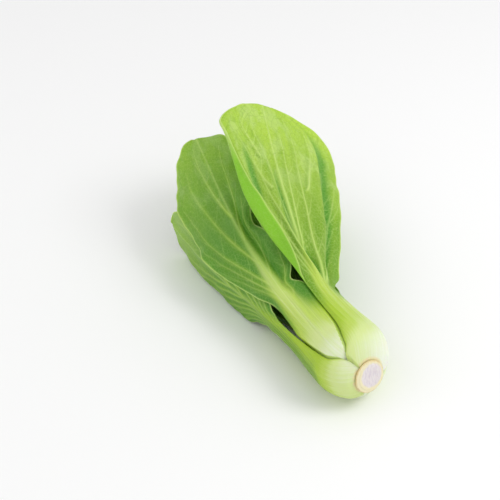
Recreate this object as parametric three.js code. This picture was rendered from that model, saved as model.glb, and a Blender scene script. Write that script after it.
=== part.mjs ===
// A head of Shanghai bok choy, cut at the stem and lying on its side.
//
// The leaves are laid one under another round a gently curved axis. Every leaf is a thin
// closed sheet, given by the distance of its outer face from that axis, and each one is
// pressed under the leaves that lie over it, so that the bulb closes and nothing crosses.
// Millimetres, +Z up, stem end towards -Y. The head rests on the plane z = 0.

import * as THREE from 'three';

// ---------------------------------------------------------------- driving dimensions

const AXIS_LENGTH = 215;          // from the cut stem to the tips
const AXIS_HEIGHT = 24.3;         // of the axis over the surface that the head lies on
const AXIS_HEADING_CUT = -8;      // degrees clockwise from +Y, seen from above, at the cut stem
const AXIS_HEADING_TIPS = 9;      // the same at the tips
const CUT_PLACE = [-10.32, -107.46];  // x and y of the middle of the cut

const CUT_SLANT = 14;             // degrees that the cut face leans back from square
const SLANT_REACH = 26;           // the slant has died out this far from the cut

const LEAF_GAP = 0.55;            // kept between one leaf and the next
const EDGE_ROOM = 0.8;            // beyond a leaf's edge before the next may rise past it
const EDGE_LIFT = 1.3;            // how steeply the next leaf may rise there
const EDGE_LIFT_GROWTH = 0.3;     // and how much more steeply with every millimetre
const PRESS_SOFTNESS = 1.2;       // how softly a leaf gives way under the one above
const CROSSING_PLACE = 63;        // where a leaf with a covered base slips over the leaves beside it
const CROSSING_SLOPE = 1.5;       // how steeply it may pass them there
const CORE_CLEARANCE = 0.4;       // between the stem core and the leaf bases
const FLOOR_CLEARANCE = 0.4;      // under leaves that don't touch the surface

const BLADE_THICKNESS = 0.8;
const EDGE_THICKNESS = 1.0;       // of the clasping base, at its edges
const BELLY_PLACE = 20;           // where the bulb is widest, from the cut
const NECK_PLACE = 55;            // where the leaf stalks are narrowest

// The stem core: a short cone inside the bulb, with the cut face and its bark-coloured rim.
const CORE_PROFILE_PLACES = [0, 3, 6, 10, 16, 21];
const CORE_PROFILE_RADII = [7.4, 6.3, 5.2, 3.9, 2.2, 1.0];
const CORE_SIDES = 28;
const CUT_FACE_RADIUS = 7.6;
const CUT_FACE_DEPTH = 1.5;       // of the cut face beyond the leaf bases
const RIM_RADIUS = 10.3;

const FOLDED_COLUMNS = [
  -1, -0.9, -0.8, -0.68, -0.55, -0.4, -0.25, -0.12, 0, 0.12, 0.25, 0.4, 0.55, 0.68, 0.8, 0.9, 1,
];
const OUTER_COLUMNS = [-1, -0.8, -0.55, -0.32, -0.13, 0, 0.13, 0.32, 0.55, 0.8, 1];
const HEART_COLUMNS = [-1, -0.7, -0.35, 0, 0.35, 0.7, 1];
const FOLDED_ROWS = 36;
const OUTER_ROWS = 26;
const HEART_ROWS = 20;

// ---------------------------------------------------------------- colours

const LEAF_COLOUR = 0x8ab53c;
const HEART_COLOUR = 0xb9d46a;
const CORE_COLOUR = 0xe3dccd;

// ---------------------------------------------------------------- the leaves
//
// around       where the leaf stands, degrees clockwise from up, seen from the cut stem
// drift        degrees that its midrib turns round the axis on the way to the tip
// start, tip   its two ends, measured along the axis from the cut
// reach        midline's distance from the axis: belly, neck, low blade, high blade, tip
// baseRadius   and the same where the leaf starts
// swell        how quickly the bulb swells from there, quicker under 1
// clasp        half angles that the base wraps round the bulb, left and right
// flare        how much further it wraps close to the cut, and flareEnd where that ends
// narrows      between which places the base gives way to the stalk, on each side
// neck         half widths of the stalk
// bladeStart   where the blade begins
// halfWidths   greatest half widths of the blade, left and right
// thickness    of the stalk at the belly
// cup          1 wraps the blade round the axis, 0 leaves it flat
// widest       share of the blade's length at which it is widest
// opening      how slowly each half widens from the stalk
// rounding     how square each half's shoulder is
// ruffle       height of the waves along the edges
// bulges       on each side, where the edge swings out: place, length and how far
// folds        lengthwise folds: place across (at the foot, low and high in the blade), width, height,
//              and the share of the blade's length where they have died away
// slipsOver    leaves that cover this leaf's base while its blade lies over theirs

const LEAVES = [
  {
    name: 'leaf_01', around: -92, drift: -2, start: 0.6, tip: 186,
    reach: [25, 23.5, 26, 36, 46], clasp: [44, 34], flare: [24, 18], flareEnd: [12, 16],
    narrows: [[16, 66], [6, 56]], neck: [6.5, 6.5], bladeStart: 60, halfWidths: [34, 30],
    thickness: 6.5, cup: 0.2, opening: [1.3, 1.0], wavePhase: 0.4,
  },
  {
    name: 'leaf_03', around: 13, drift: 14, start: 0.6, tip: 222.5,
    reach: [25, 24, 29, 44, 67], clasp: [40, 60], flare: [20, 30], flareEnd: [12, 15],
    narrows: [[2, 42], [16, 66]], neck: [9, 7], bladeStart: 58, halfWidths: [36.5, 47],
    thickness: 6.5, cup: 0.1, widest: 0.64, opening: [1.35, 0.62], rounding: [2.6, 3.8],
    bulges: [[[156, 26, -4.2], [197, 12, 4.8]], [[188, 26, 7.4], [210, 11, 3], [68, 7, 3]]],
    ruffle: 0.5, waveLength: 70, folded: true,
    folds: [
      [[0.3, 0.54, 0.74], 0.14, 2.5], [[0.52, 0.76, 0.8], 0.1, -3.6, 1.06],
      [[-0.85, -0.85, -0.85], 0.15, 2], [[-0.15, -0.3, -0.3], 0.14, 1.6],
    ],
  },
  {
    name: 'leaf_02', around: 148, drift: -10, start: 0.9, tip: 180,
    reach: [25.5, 24, 25, 28.5, 33], swell: 0.85, clasp: [48, 50], neck: [7.5, 7.5],
    bladeStart: 62, halfWidths: [34, 34], thickness: 6.5, cup: 0.35, wavePhase: 2.1, floor: 0,
  },
  {
    name: 'leaf_04', around: -128, drift: 4, start: 3, tip: 176,
    reach: [24, 21, 24, 30, 38], clasp: [52, 50], neck: [8, 8], bladeStart: 60,
    halfWidths: [32, 32], thickness: 5.5, wavePhase: 1.3, floor: 0,
  },
  {
    name: 'leaf_05', around: 96, drift: 2, start: 3, tip: 188,
    reach: [24, 22, 26, 36, 48], clasp: [52, 52], neck: [9, 10.5], bladeStart: 60,
    halfWidths: [33, 23], thickness: 5.5, cup: 0.25, wavePhase: 3.0,
  },
  {
    name: 'leaf_06', around: -45, drift: 21, start: 4.5, tip: 216,
    reach: [24, 22, 25, 33, 48], clasp: [48, 46], neck: [8.5, 16.5], bladeStart: 60,
    halfWidths: [33, 18], thickness: 5.5, opening: [0.95, 0.75], rounding: [2.3, 3.6],
    bulges: [[], [[76, 6, -6.5], [130, 14, -7.5], [203, 12, 6]]],
    wavePhase: 4.2, rib: 2, folded: true, slipsOver: ['leaf_01', 'leaf_04'],
    folds: [[[0.33, 0.33, 0.33], 0.16, -3.5], [[-0.5, -0.5, -0.5], 0.3, 2.5]],
  },
  {
    name: 'leaf_07', around: 181, drift: 6, start: 11, tip: 190,
    reach: [19, 16, 18, 21, 23], clasp: [55, 55], neck: [7, 7], bladeStart: 60,
    halfWidths: [28, 28], thickness: 4.5, cup: 0.4, baseRadius: 8, wavePhase: 0.9, heart: true,
  },
  {
    name: 'leaf_08', around: 43.5, drift: 8, start: 9, tip: 198,
    reach: [19, 16, 19, 27, 40], clasp: [55, 55], neck: [7, 7], bladeStart: 60,
    halfWidths: [34, 28], thickness: 4.5, cup: 0.4, baseRadius: 8, wavePhase: 2.6, heart: true,
  },
  {
    name: 'leaf_09', around: -94, drift: 10, start: 15, tip: 182,
    reach: [15, 13, 15, 20, 28], clasp: [58, 58], neck: [6, 6], bladeStart: 60,
    halfWidths: [24, 24], thickness: 3.5, cup: 0.5, baseRadius: 7, wavePhase: 5.1, heart: true,
  },
  {
    name: 'leaf_10', around: 130, drift: -6, start: 15, tip: 170,
    reach: [13, 11, 13, 17, 22], clasp: [60, 60], neck: [5.5, 5.5], bladeStart: 60,
    halfWidths: [20, 20], thickness: 3.2, cup: 0.6, baseRadius: 7, wavePhase: 3.7, heart: true,
  },
  {
    name: 'leaf_11', around: -9, drift: 12, start: 21, tip: 160,
    reach: [9.5, 8.5, 10, 14, 20], clasp: [65, 65], neck: [5, 5], bladeStart: 58,
    halfWidths: [16, 16], thickness: 3, cup: 0.7, baseRadius: 6, wavePhase: 1.8, heart: true,
  },
];

const USUAL = {
  cup: 0.3, widest: 0.58, opening: [1.35, 1.35], rounding: [2.3, 2.3], ruffle: 1.6,
  waveLength: 45, wavePhase: 0, folds: [], baseRadius: 10.5, swell: 0.62, floor: FLOOR_CLEARANCE,
  rib: 1, flare: [8, 8], flareEnd: [12, 12], narrows: [[16, 66], [16, 66]], bulges: [[], []],
  slipsOver: [], heart: false, folded: false,
};

// ---------------------------------------------------------------- small maths

const NO_LIMIT = 1000;
const radians = THREE.MathUtils.degToRad;
const clamp = THREE.MathUtils.clamp;

function smoothstep(low, high, x) {
  const t = clamp((x - low) / (high - low), 0, 1);
  return t * t * (3 - 2 * t);
}

function softMin(x, y, softness) {
  const h = clamp(0.5 + (0.5 * (y - x)) / softness, 0, 1);
  return y * (1 - h) + x * h - softness * h * (1 - h);
}

// A smooth curve through the knots that turns only where the values turn.
function spline(knots, values, x) {
  const last = knots.length - 1;
  const secants = knots.slice(1).map((knot, i) => (values[i + 1] - values[i]) / (knot - knots[i]));
  const slope = (i) => {
    if (i === 0) return secants[0];
    if (i === last) return secants[last - 1];
    const product = secants[i - 1] * secants[i];
    return product > 0 ? (2 * product) / (secants[i - 1] + secants[i]) : 0;
  };
  const at = clamp(x, knots[0], knots[last]);
  let i = 0;
  while (i < last - 1 && knots[i + 1] < at) i += 1;
  const span = knots[i + 1] - knots[i];
  const t = (at - knots[i]) / span;
  return (1 + 2 * t) * (1 - t) ** 2 * values[i] + t * (1 - t) ** 2 * span * slope(i)
    + t * t * (3 - 2 * t) * values[i + 1] + t * t * (t - 1) * span * slope(i + 1);
}

// The values with one more, halfway, between each pair.
function halved(values) {
  return values.flatMap((value, i) => (i === 0 ? [value] : [(values[i - 1] + value) / 2, value]));
}

// Slope of f over x at index i, from the neighbours that exist.
function slopeAt(f, x, i) {
  const low = Math.max(i - 1, 0);
  const high = Math.min(i + 1, x.length - 1);
  return (f[high] - f[low]) / (x[high] - x[low]);
}

// ---------------------------------------------------------------- the axis

const heading0 = radians(AXIS_HEADING_CUT);
const turning = (radians(AXIS_HEADING_TIPS) - heading0) / AXIS_LENGTH;

// The point at distance r from the axis, theta clockwise from up and a along the axis.
function place(r, theta, a) {
  const slant = Math.tan(radians(CUT_SLANT)) * clamp(1 - a / SLANT_REACH, 0, 1) ** 2;
  const heading = heading0 + turning * (a + slant * r * Math.cos(theta));
  const aside = r * Math.sin(theta);
  return new THREE.Vector3(
    CUT_PLACE[0] + (Math.cos(heading0) - Math.cos(heading)) / turning + aside * Math.cos(heading),
    CUT_PLACE[1] + (Math.sin(heading) - Math.sin(heading0)) / turning - aside * Math.sin(heading),
    AXIS_HEIGHT + r * Math.cos(theta),
  );
}

function coreRadius(a) {
  return a < CORE_PROFILE_PLACES.at(-1) ? spline(CORE_PROFILE_PLACES, CORE_PROFILE_RADII, a) : 0;
}

// ---------------------------------------------------------------- the shape of one leaf

class Leaf {
  constructor(sizes) {
    Object.assign(this, USUAL, sizes);
  }

  // Distance of the midline from the axis: a full quarter round up to the belly, then a curve.
  midline(a) {
    const belly = this.reach[0];
    if (a < BELLY_PLACE) {
      const rise = clamp((a - this.start) / (BELLY_PLACE - this.start), 0, 1);
      return this.baseRadius + (belly - this.baseRadius) * (1 - (1 - rise) ** 2.3) ** this.swell;
    }
    return spline([BELLY_PLACE, NECK_PLACE, 85, 130, this.tip], this.reach, a);
  }

  // Share of the blade's length.
  grown(a) {
    return clamp((a - this.bladeStart) / (this.tip - this.bladeStart), 0, 1);
  }

  halfWidth(a, side) {
    const flare = this.flare[side] * (1 - smoothstep(2, this.flareEnd[side], a));
    const wrap = radians(this.clasp[side] + flare) * Math.min(this.midline(a), this.reach[0]);
    const neck = this.neck[side];
    const narrowing = (1 - smoothstep(...this.narrows[side], a)) ** 1.35;
    const stalkEnds = 1 - smoothstep(this.bladeStart + 5, this.tip - 3, a);
    const stalk = (neck + (wrap - neck) * narrowing) * stalkEnds;
    const t = this.grown(a);
    const widening = Math.sin((clamp(t / this.widest, 0, 1) * Math.PI) / 2) ** this.opening[side];
    const shoulder = clamp((t - this.widest) / (1 - this.widest), 0, 1) ** this.rounding[side];
    const blade = this.halfWidths[side] * (t < this.widest ? widening : Math.sqrt(1 - shoulder));
    return this.bulges[side].reduce(
      (width, [at, length, out]) => width + out * Math.exp(-(((a - at) / length) ** 2)),
      Math.cbrt(stalk ** 3 + blade ** 3),
    );
  }

  // Relief of the outer face: the waved edges, the lengthwise folds and the midrib.
  relief(u, a, across) {
    const t = this.grown(a);
    const wave = Math.sin((2 * Math.PI * a) / this.waveLength + this.wavePhase + 1.3 * Math.sign(u));
    let height = this.ruffle * smoothstep(0, 0.35, t) * Math.abs(u) ** 2.2 * wave;
    for (const [[foot, low, high], width, fold, till = 1] of this.folds) {
      const at = foot + (low - foot) * smoothstep(0, 0.35, t) + (high - low) * smoothstep(0.35, 0.8, t);
      const along = smoothstep(0, 0.16, t) * (1 - smoothstep(till - 0.4, till, t));
      height += fold * along * Math.exp(-(((u - at) / width) ** 2));
    }
    const ribStarts = smoothstep(this.bladeStart - 25, this.bladeStart + 5, a);
    const ribWidth = 2.2 + 5 * (1 - t);
    return height + this.rib * ribStarts * (1 - t) * Math.exp(-((across / ribWidth) ** 2));
  }

  // Where the outer face would be with nothing over it, u from -1 at one edge to 1 at the other.
  free(u, a) {
    const across = u * this.halfWidth(a, u > 0 ? 1 : 0);
    const distance = this.midline(a);
    const cupping = 1 + (this.cup - 1) * smoothstep(30, this.bladeStart + 35, a);
    const curvature = cupping / distance;
    const x = Math.sin(curvature * across) / curvature;
    const y = distance - (1 - Math.cos(curvature * across)) / curvature;
    const midrib = radians(this.around + this.drift * smoothstep(30, this.tip, a));
    return {
      across,
      theta: midrib + Math.atan2(x, y),
      r: Math.hypot(x, y) + this.relief(u, a, across),
    };
  }

  // Thickness, square to the face.
  thicknessAt(u, a, across) {
    const thinning = 1 - 0.42 * smoothstep(25, this.bladeStart, a);
    const stalk = this.thickness * (0.35 + 0.65 * smoothstep(this.start, 18, a)) * thinning;
    const inStalk = EDGE_THICKNESS + (stalk - EDGE_THICKNESS) * clamp(1 - Math.abs(u) ** 2.2, 0, 1);
    const t = this.grown(a);
    const rib = stalk * (1 - smoothstep(this.bladeStart - 10, this.tip, a)) ** 1.2;
    const ribShape = Math.exp(-((across / (2 + 4 * (1 - t))) ** 2));
    const inBlade = BLADE_THICKNESS + Math.max(rib - BLADE_THICKNESS, 0) * ribShape;
    const share = smoothstep(0, 0.16, t);
    return inStalk * (1 - share) + inBlade * share;
  }

  get columns() {
    if (this.folded) return FOLDED_COLUMNS;
    return this.heart ? HEART_COLUMNS : OUTER_COLUMNS;
  }

  get rowCount() {
    if (this.folded) return FOLDED_ROWS;
    return this.heart ? HEART_ROWS : OUTER_ROWS;
  }

  // Places of the rows along the axis, closer together at both ends.
  get rows() {
    const count = this.rowCount;
    const crowding = 0.55;
    const tipTrim = 0.25;
    return Array.from({ length: count }, (_, i) => {
      const s = i / (count - 1);
      const eased = s - (crowding * Math.sin(2 * Math.PI * s)) / (2 * Math.PI);
      return this.start + (this.tip - this.start) * eased - (i === count - 1 ? tipTrim : 0);
    });
  }
}

// ---------------------------------------------------------------- a leaf laid under the others

class LaidLeaf {
  constructor(leaf, above) {
    this.leaf = leaf;
    this.rows = leaf.rows;
    this.columns = leaf.columns;
    const ceilings = this.ceilingsUnder(above);
    this.theta = [];
    this.outer = this.rows.map((a, i) => {
      const points = this.columns.map((u) => leaf.free(u, a));
      this.theta.push(points.map((point) => point.theta));
      return points.map(({ theta, r }, j) => {
        const pressed = Math.min(r, softMin(r, this.lowestRound(ceilings, i, j), PRESS_SOFTNESS));
        return softMin(pressed, floorLimit(theta, leaf.floor), floorSoftness(a));
      });
    });
    this.inner = this.rows.map((a, i) => this.columns.map((u, j) => this.innerFace(u, a, i, j)));
  }

  // Room under the leaves above, at the grid's corners and halfway between them.
  ceilingsUnder(above) {
    return halved(this.rows).map((a) => halved(this.columns).map((u) => {
      const { theta } = this.leaf.free(u, a);
      const rooms = above.map((laid) => laid.roomUnder(theta, a) + this.crossingRoom(laid, a));
      return Math.min(NO_LIMIT, ...rooms);
    }));
  }

  // Freedom from a leaf above, before or past the place where one of the two slips over the other.
  crossingRoom(laid, a) {
    if (this.leaf.slipsOver.includes(laid.leaf.name)) {
      return CROSSING_SLOPE * Math.max(a - CROSSING_PLACE, 0);
    }
    if (laid.leaf.slipsOver.includes(this.leaf.name)) {
      return CROSSING_SLOPE * Math.max(CROSSING_PLACE - a, 0);
    }
    return 0;
  }

  // The lowest of the ceilings over the cells round corner i, j.
  lowestRound(ceilings, i, j) {
    const rows = ceilings.slice(Math.max(2 * i - 2, 0), 2 * i + 3);
    return Math.min(...rows.flatMap((row) => row.slice(Math.max(2 * j - 2, 0), 2 * j + 3)));
  }

  innerFace(u, a, i, j) {
    const { leaf, rows, outer, theta } = this;
    const r = outer[i][j];
    const slopeRound = slopeAt(outer[i], theta[i], j) / r;
    const slopeAlong = slopeAt(outer.map((row) => row[j]), rows, i);
    const steepness = Math.sqrt(1 + Math.min(slopeRound ** 2 + slopeAlong ** 2, 5));
    const thickness = leaf.thicknessAt(u, a, leaf.free(u, a).across) * steepness;
    return Math.max(r - thickness, coreRadius(a) + CORE_CLEARANCE);
  }

  // Distance from the axis that this leaf leaves free under it at theta and a.
  roomUnder(theta, a) {
    const { rows } = this;
    const startRoom = 0.8;
    if (a < rows[0] - startRoom) return NO_LIMIT;
    let i = 0;
    while (i < rows.length - 2 && rows[i + 1] < a) i += 1;
    const f = clamp((a - rows[i]) / (rows[i + 1] - rows[i]), 0, 1);
    const thetas = this.theta[i].map((value, j) => value * (1 - f) + this.theta[i + 1][j] * f);
    const inners = this.inner[i].map((value, j) => value * (1 - f) + this.inner[i + 1][j] * f);
    const middle = thetas[(thetas.length - 1) / 2];
    const at = middle + THREE.MathUtils.euclideanModulo(theta - middle + Math.PI, 2 * Math.PI) - Math.PI;
    let j = 0;
    while (j < thetas.length - 2 && thetas[j + 1] < at) j += 1;
    const g = clamp((at - thetas[j]) / (thetas[j + 1] - thetas[j]), 0, 1);
    const inner = inners[j] * (1 - g) + inners[j + 1] * g;
    const aside = Math.max(thetas[0] - at, at - thetas.at(-1), 0) * Math.max(inner, 12);
    const past = Math.max(Math.hypot(aside, Math.max(a - rows.at(-1), 0)) - EDGE_ROOM, 0);
    return inner - LEAF_GAP + past * (EDGE_LIFT + past * EDGE_LIFT_GROWTH);
  }

  // Both faces and the rim between them, split into triangles alike.
  geometry() {
    const { rows, columns } = this;
    const face = (distances) => rows.flatMap((a, i) => (
      columns.map((_, j) => place(distances[i][j], this.theta[i][j], a))
    ));
    const count = rows.length * columns.length;
    const index = [];
    const quad = (a, b, c, d) => index.push(a, b, c, a, c, d);
    const corner = (i, j) => i * columns.length + j;
    for (let i = 0; i < rows.length - 1; i += 1) {
      for (let j = 0; j < columns.length - 1; j += 1) {
        const [a, b, c, d] = [corner(i, j), corner(i, j + 1), corner(i + 1, j + 1), corner(i + 1, j)];
        index.push(a, b, c, a, c, d);
        index.push(a + count, c + count, b + count, a + count, d + count, c + count);
      }
    }
    const rim = [
      ...rows.map((_, i) => corner(i, 0)).reverse(),
      ...columns.map((_, j) => corner(0, j)).slice(1),
      ...rows.map((_, i) => corner(i, columns.length - 1)).slice(1),
      ...columns.map((_, j) => corner(rows.length - 1, j)).reverse().slice(1),
    ];
    for (let k = 0; k < rim.length - 1; k += 1) {
      quad(rim[k + 1], rim[k], rim[k] + count, rim[k + 1] + count);
    }
    return closedGeometry([...face(this.outer), ...face(this.inner)], index);
  }
}

// Greatest distance from the axis that keeps a point over the surface below.
function floorLimit(theta, clearance) {
  const down = -Math.cos(theta);
  return down > 0.05 ? (AXIS_HEIGHT - clearance) / down : NO_LIMIT;
}

// Stalks press flat on the surface, blades curl up from it.
function floorSoftness(a) {
  return 0.05 + 6 * smoothstep(50, 100, a);
}

function closedGeometry(points, index) {
  const geometry = new THREE.BufferGeometry();
  geometry.setFromPoints(points);
  geometry.setIndex(index);
  geometry.computeVertexNormals();
  return geometry;
}

// ---------------------------------------------------------------- the stem core

// Rings from the cut face, over the rim and down the cone inside the bulb.
function stemCoreGeometry() {
  const rings = [
    [CUT_FACE_RADIUS * 0.5, -CUT_FACE_DEPTH],
    [CUT_FACE_RADIUS, -CUT_FACE_DEPTH],
    [CUT_FACE_RADIUS + 0.6, 0.5 - CUT_FACE_DEPTH],
    [RIM_RADIUS - 0.6, 0.6 - CUT_FACE_DEPTH],
    [RIM_RADIUS, 1.1 - CUT_FACE_DEPTH],
    [RIM_RADIUS - 0.3, 0.1],
    [CORE_PROFILE_RADII[0], 0.1],
    ...CORE_PROFILE_PLACES.slice(1).map((a, i) => [CORE_PROFILE_RADII[i + 1], a]),
  ];
  const points = rings.flatMap(([radius, a]) => (
    Array.from({ length: CORE_SIDES }, (_, k) => place(radius, (2 * Math.PI * k) / CORE_SIDES, a))
  ));
  const faceMiddle = points.push(place(0, 0, -CUT_FACE_DEPTH)) - 1;
  const innerEnd = points.push(place(0, 0, CORE_PROFILE_PLACES.at(-1) + 0.8)) - 1;
  const index = [];
  for (let k = 0; k < CORE_SIDES; k += 1) {
    const next = (k + 1) % CORE_SIDES;
    index.push(faceMiddle, next, k);
    for (let ring = 0; ring < rings.length - 1; ring += 1) {
      const a = ring * CORE_SIDES + k;
      const b = ring * CORE_SIDES + next;
      index.push(a, b, b + CORE_SIDES, a, b + CORE_SIDES, a + CORE_SIDES);
    }
    const last = (rings.length - 1) * CORE_SIDES;
    index.push(innerEnd, last + k, last + next);
  }
  return closedGeometry(points, index);
}

// ---------------------------------------------------------------- the head

function named(name, geometry, colour, roughness) {
  const material = new THREE.MeshStandardMaterial({ color: colour, roughness, metalness: 0 });
  const mesh = new THREE.Mesh(geometry, material);
  mesh.name = name;
  return mesh;
}

const head = new THREE.Group();
head.name = 'bok_choy';
head.add(named('stem_core', stemCoreGeometry(), CORE_COLOUR, 0.6));
const laid = [];
const leaves = LEAVES.map((sizes) => new Leaf(sizes));
for (const leaf of leaves) {
  // A blade that slips over this leaf is laid once beforehand, to lie under.
  const slipping = leaves.filter((other) => other.slipsOver.includes(leaf.name));
  const laidLeaf = new LaidLeaf(leaf, [...laid, ...slipping.map((other) => new LaidLeaf(other, []))]);
  laid.push(laidLeaf);
  head.add(named(leaf.name, laidLeaf.geometry(), leaf.heart ? HEART_COLOUR : LEAF_COLOUR, 0.45));
}

export default head;
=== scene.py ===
"""Dresses a head of Shanghai bok choy that lies on its side.

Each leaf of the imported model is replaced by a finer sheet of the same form, with its veins, its
pleats, the lengthwise ridges of its stalk and its waved margin. The stem core gets a finer cut
face and rim. Lengths are worked in millimetres and placed in metres.
"""

from __future__ import annotations

import logging
import math
from collections.abc import Sequence
from dataclasses import dataclass
from enum import Enum
from typing import ClassVar

import bpy
import numpy as np
from mathutils import Matrix, Vector


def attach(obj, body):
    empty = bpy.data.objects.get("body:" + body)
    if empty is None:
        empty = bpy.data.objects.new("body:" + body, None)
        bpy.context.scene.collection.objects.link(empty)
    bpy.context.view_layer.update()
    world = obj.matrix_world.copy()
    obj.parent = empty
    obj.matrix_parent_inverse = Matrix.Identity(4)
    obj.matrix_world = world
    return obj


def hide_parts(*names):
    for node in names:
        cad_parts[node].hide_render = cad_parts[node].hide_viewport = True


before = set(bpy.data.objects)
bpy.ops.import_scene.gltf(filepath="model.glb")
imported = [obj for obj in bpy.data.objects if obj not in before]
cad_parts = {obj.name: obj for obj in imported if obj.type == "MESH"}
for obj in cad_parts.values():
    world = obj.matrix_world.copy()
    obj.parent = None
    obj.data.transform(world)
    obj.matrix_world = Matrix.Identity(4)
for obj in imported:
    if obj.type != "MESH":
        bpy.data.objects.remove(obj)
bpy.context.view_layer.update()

LOG = logging.getLogger("bok_choy")

Array = np.ndarray
Socket = bpy.types.NodeSocket
Rgb = tuple[int, int, int]
Triple = tuple[float, float, float]
MM = 0.001
FREE = 1000.0


# ---------------------------------------------------------------- small maths


def smoothstep(low: float, high: float, x: Array) -> Array:
    """A smooth rise from 0 at low to 1 at high."""
    t = np.clip((x - low) / (high - low), 0.0, 1.0)
    return t * t * (3 - 2 * t)


def soft_min(x: Array, y: Array, softness: float | Array) -> Array:
    """The lesser of x and y, rounded off where they come close."""
    h = np.clip(0.5 + 0.5 * (y - x) / softness, 0.0, 1.0)
    return y * (1 - h) + x * h - softness * h * (1 - h)


def spline(knots: Sequence[float], values: Sequence[float], x: Array) -> Array:
    """A smooth curve through the knots that turns only where the values turn.

    Args:
        knots: rising places of the given values.
        values: the value at each knot.
        x: where to read the curve.

    Returns:
        The curve's values at x.
    """
    k = np.asarray(knots, float)
    v = np.asarray(values, float)
    secants = np.diff(v) / np.diff(k)
    slopes = np.zeros_like(v)
    slopes[0], slopes[-1] = secants[0], secants[-1]
    product = secants[:-1] * secants[1:]
    same_way = product > 0
    total = np.where(same_way, secants[:-1] + secants[1:], 1.0)
    slopes[1:-1] = np.where(same_way, 2 * product / total, 0.0)
    x = np.clip(x, k[0], k[-1])
    i = np.clip(np.searchsorted(k, x, side="right") - 1, 0, len(k) - 2)
    span = k[i + 1] - k[i]
    t = (x - k[i]) / span
    rise = (1 + 2 * t) * (1 - t) ** 2 * v[i] + t * (1 - t) ** 2 * span * slopes[i]
    fall = t * t * (3 - 2 * t) * v[i + 1] + t * t * (t - 1) * span * slopes[i + 1]
    return rise + fall


def windows(values: Array, reach: int) -> list[Array]:
    """The grid shifted by every step up to reach, along rows and columns, edges repeated.

    Args:
        values: the grid.
        reach: how many steps each way.

    Returns:
        The shifted grids, each as large as the first.
    """
    padded = np.pad(values, reach, mode="edge")
    steps = range(2 * reach + 1)
    rows, columns = values.shape
    return [padded[i : i + rows, j : j + columns] for i in steps for j in steps]


def refined(values: Array, factor: int) -> Array:
    """The grid with factor steps for each of its own, on smooth curves through its values.

    Args:
        values: a grid, or a row, of numbers.
        factor: how many steps replace one.

    Returns:
        The finer grid or row.
    """
    for axis in range(values.ndim):
        v = np.moveaxis(values, axis, 0)
        count = len(v)
        at = np.arange((count - 1) * factor + 1) / factor
        i = np.minimum(at.astype(int), count - 2)
        t = (at - i).reshape(-1, *[1] * (v.ndim - 1))
        first = 2 * v[:1] - v[1:2]
        last = 2 * v[-1:] - v[-2:-1]
        p = np.concatenate([first, v, last])
        p0, p1, p2, p3 = p[i], p[i + 1], p[i + 2], p[i + 3]
        curved = 0.5 * (
            2 * p1
            + (p2 - p0) * t
            + (2 * p0 - 5 * p1 + 4 * p2 - p3) * t**2
            + (3 * p1 - p0 - 3 * p2 + p3) * t**3
        )
        values = np.moveaxis(curved, 0, axis)
    return values


def smoothed(rows: Array, reach: int) -> Array:
    """Rows averaged with their neighbours on both sides."""
    padded = np.pad(rows, ((reach, reach), (0, 0)), mode="edge")
    return np.mean([padded[k : k + len(rows)] for k in range(2 * reach + 1)], axis=0)


def unit(vectors: Array) -> Array:
    """The vectors at length 1."""
    return vectors / np.maximum(np.linalg.norm(vectors, axis=-1, keepdims=True), 1e-12)


# ---------------------------------------------------------------- the head's axis and core


@dataclass(frozen=True)
class HeadAxis:
    """The curved line that the leaves stand round, from the cut stem to their tips."""

    length: float = 215.0
    height: float = 24.3
    heading_cut: float = -8.0
    heading_tips: float = 9.0
    cut_place: tuple[float, float] = (-10.32, -107.46)
    cut_slant: float = 14.0
    slant_reach: float = 26.0
    core_places: tuple[float, ...] = (0, 3, 6, 10, 16, 21)
    core_radii: tuple[float, ...] = (7.4, 6.3, 5.2, 3.9, 2.2, 1.0)

    def place(self, r: Array, theta: Array, a: Array) -> Array:
        """Points round the axis.

        Args:
            r: distances from the axis.
            theta: angles clockwise from up, seen from the cut.
            a: places along the axis.

        Returns:
            The points, in millimetres in the row frame.
        """
        fading = np.clip(1 - a / self.slant_reach, 0, 1) ** 2
        slant = math.tan(math.radians(self.cut_slant)) * fading
        start = math.radians(self.heading_cut)
        turning = (math.radians(self.heading_tips) - start) / self.length
        heading = start + turning * (a + slant * r * np.cos(theta))
        aside = r * np.sin(theta)
        x = self.cut_place[0] + (math.cos(start) - np.cos(heading)) / turning
        y = self.cut_place[1] + (np.sin(heading) - math.sin(start)) / turning
        z = self.height + r * np.cos(theta)
        return np.stack([x + aside * np.cos(heading), y - aside * np.sin(heading), z], -1)

    def middle(self, a: float) -> Array:
        """The point of the axis itself at a, in millimetres."""
        return self.place(np.array(0.0), np.array(0.0), np.array(a))

    def core_radius(self, a: Array) -> Array:
        """Radius of the stem core at a, nothing past its end."""
        inside = a < self.core_places[-1]
        return np.where(inside, spline(self.core_places, self.core_radii, a), 0.0)

    def floor_limit(self, theta: Array, clearance: float) -> Array:
        """Greatest distance from the axis that stays over the surface below."""
        down = -np.cos(theta)
        return np.where(down > 0.05, (self.height - clearance) / np.maximum(down, 0.05), FREE)


# ---------------------------------------------------------------- the shape of one leaf


class LeafKind(Enum):
    """Whether a leaf wraps the head or grows in its heart."""

    WRAPPER = "leaf"
    HEART = "heart_leaf"


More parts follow.
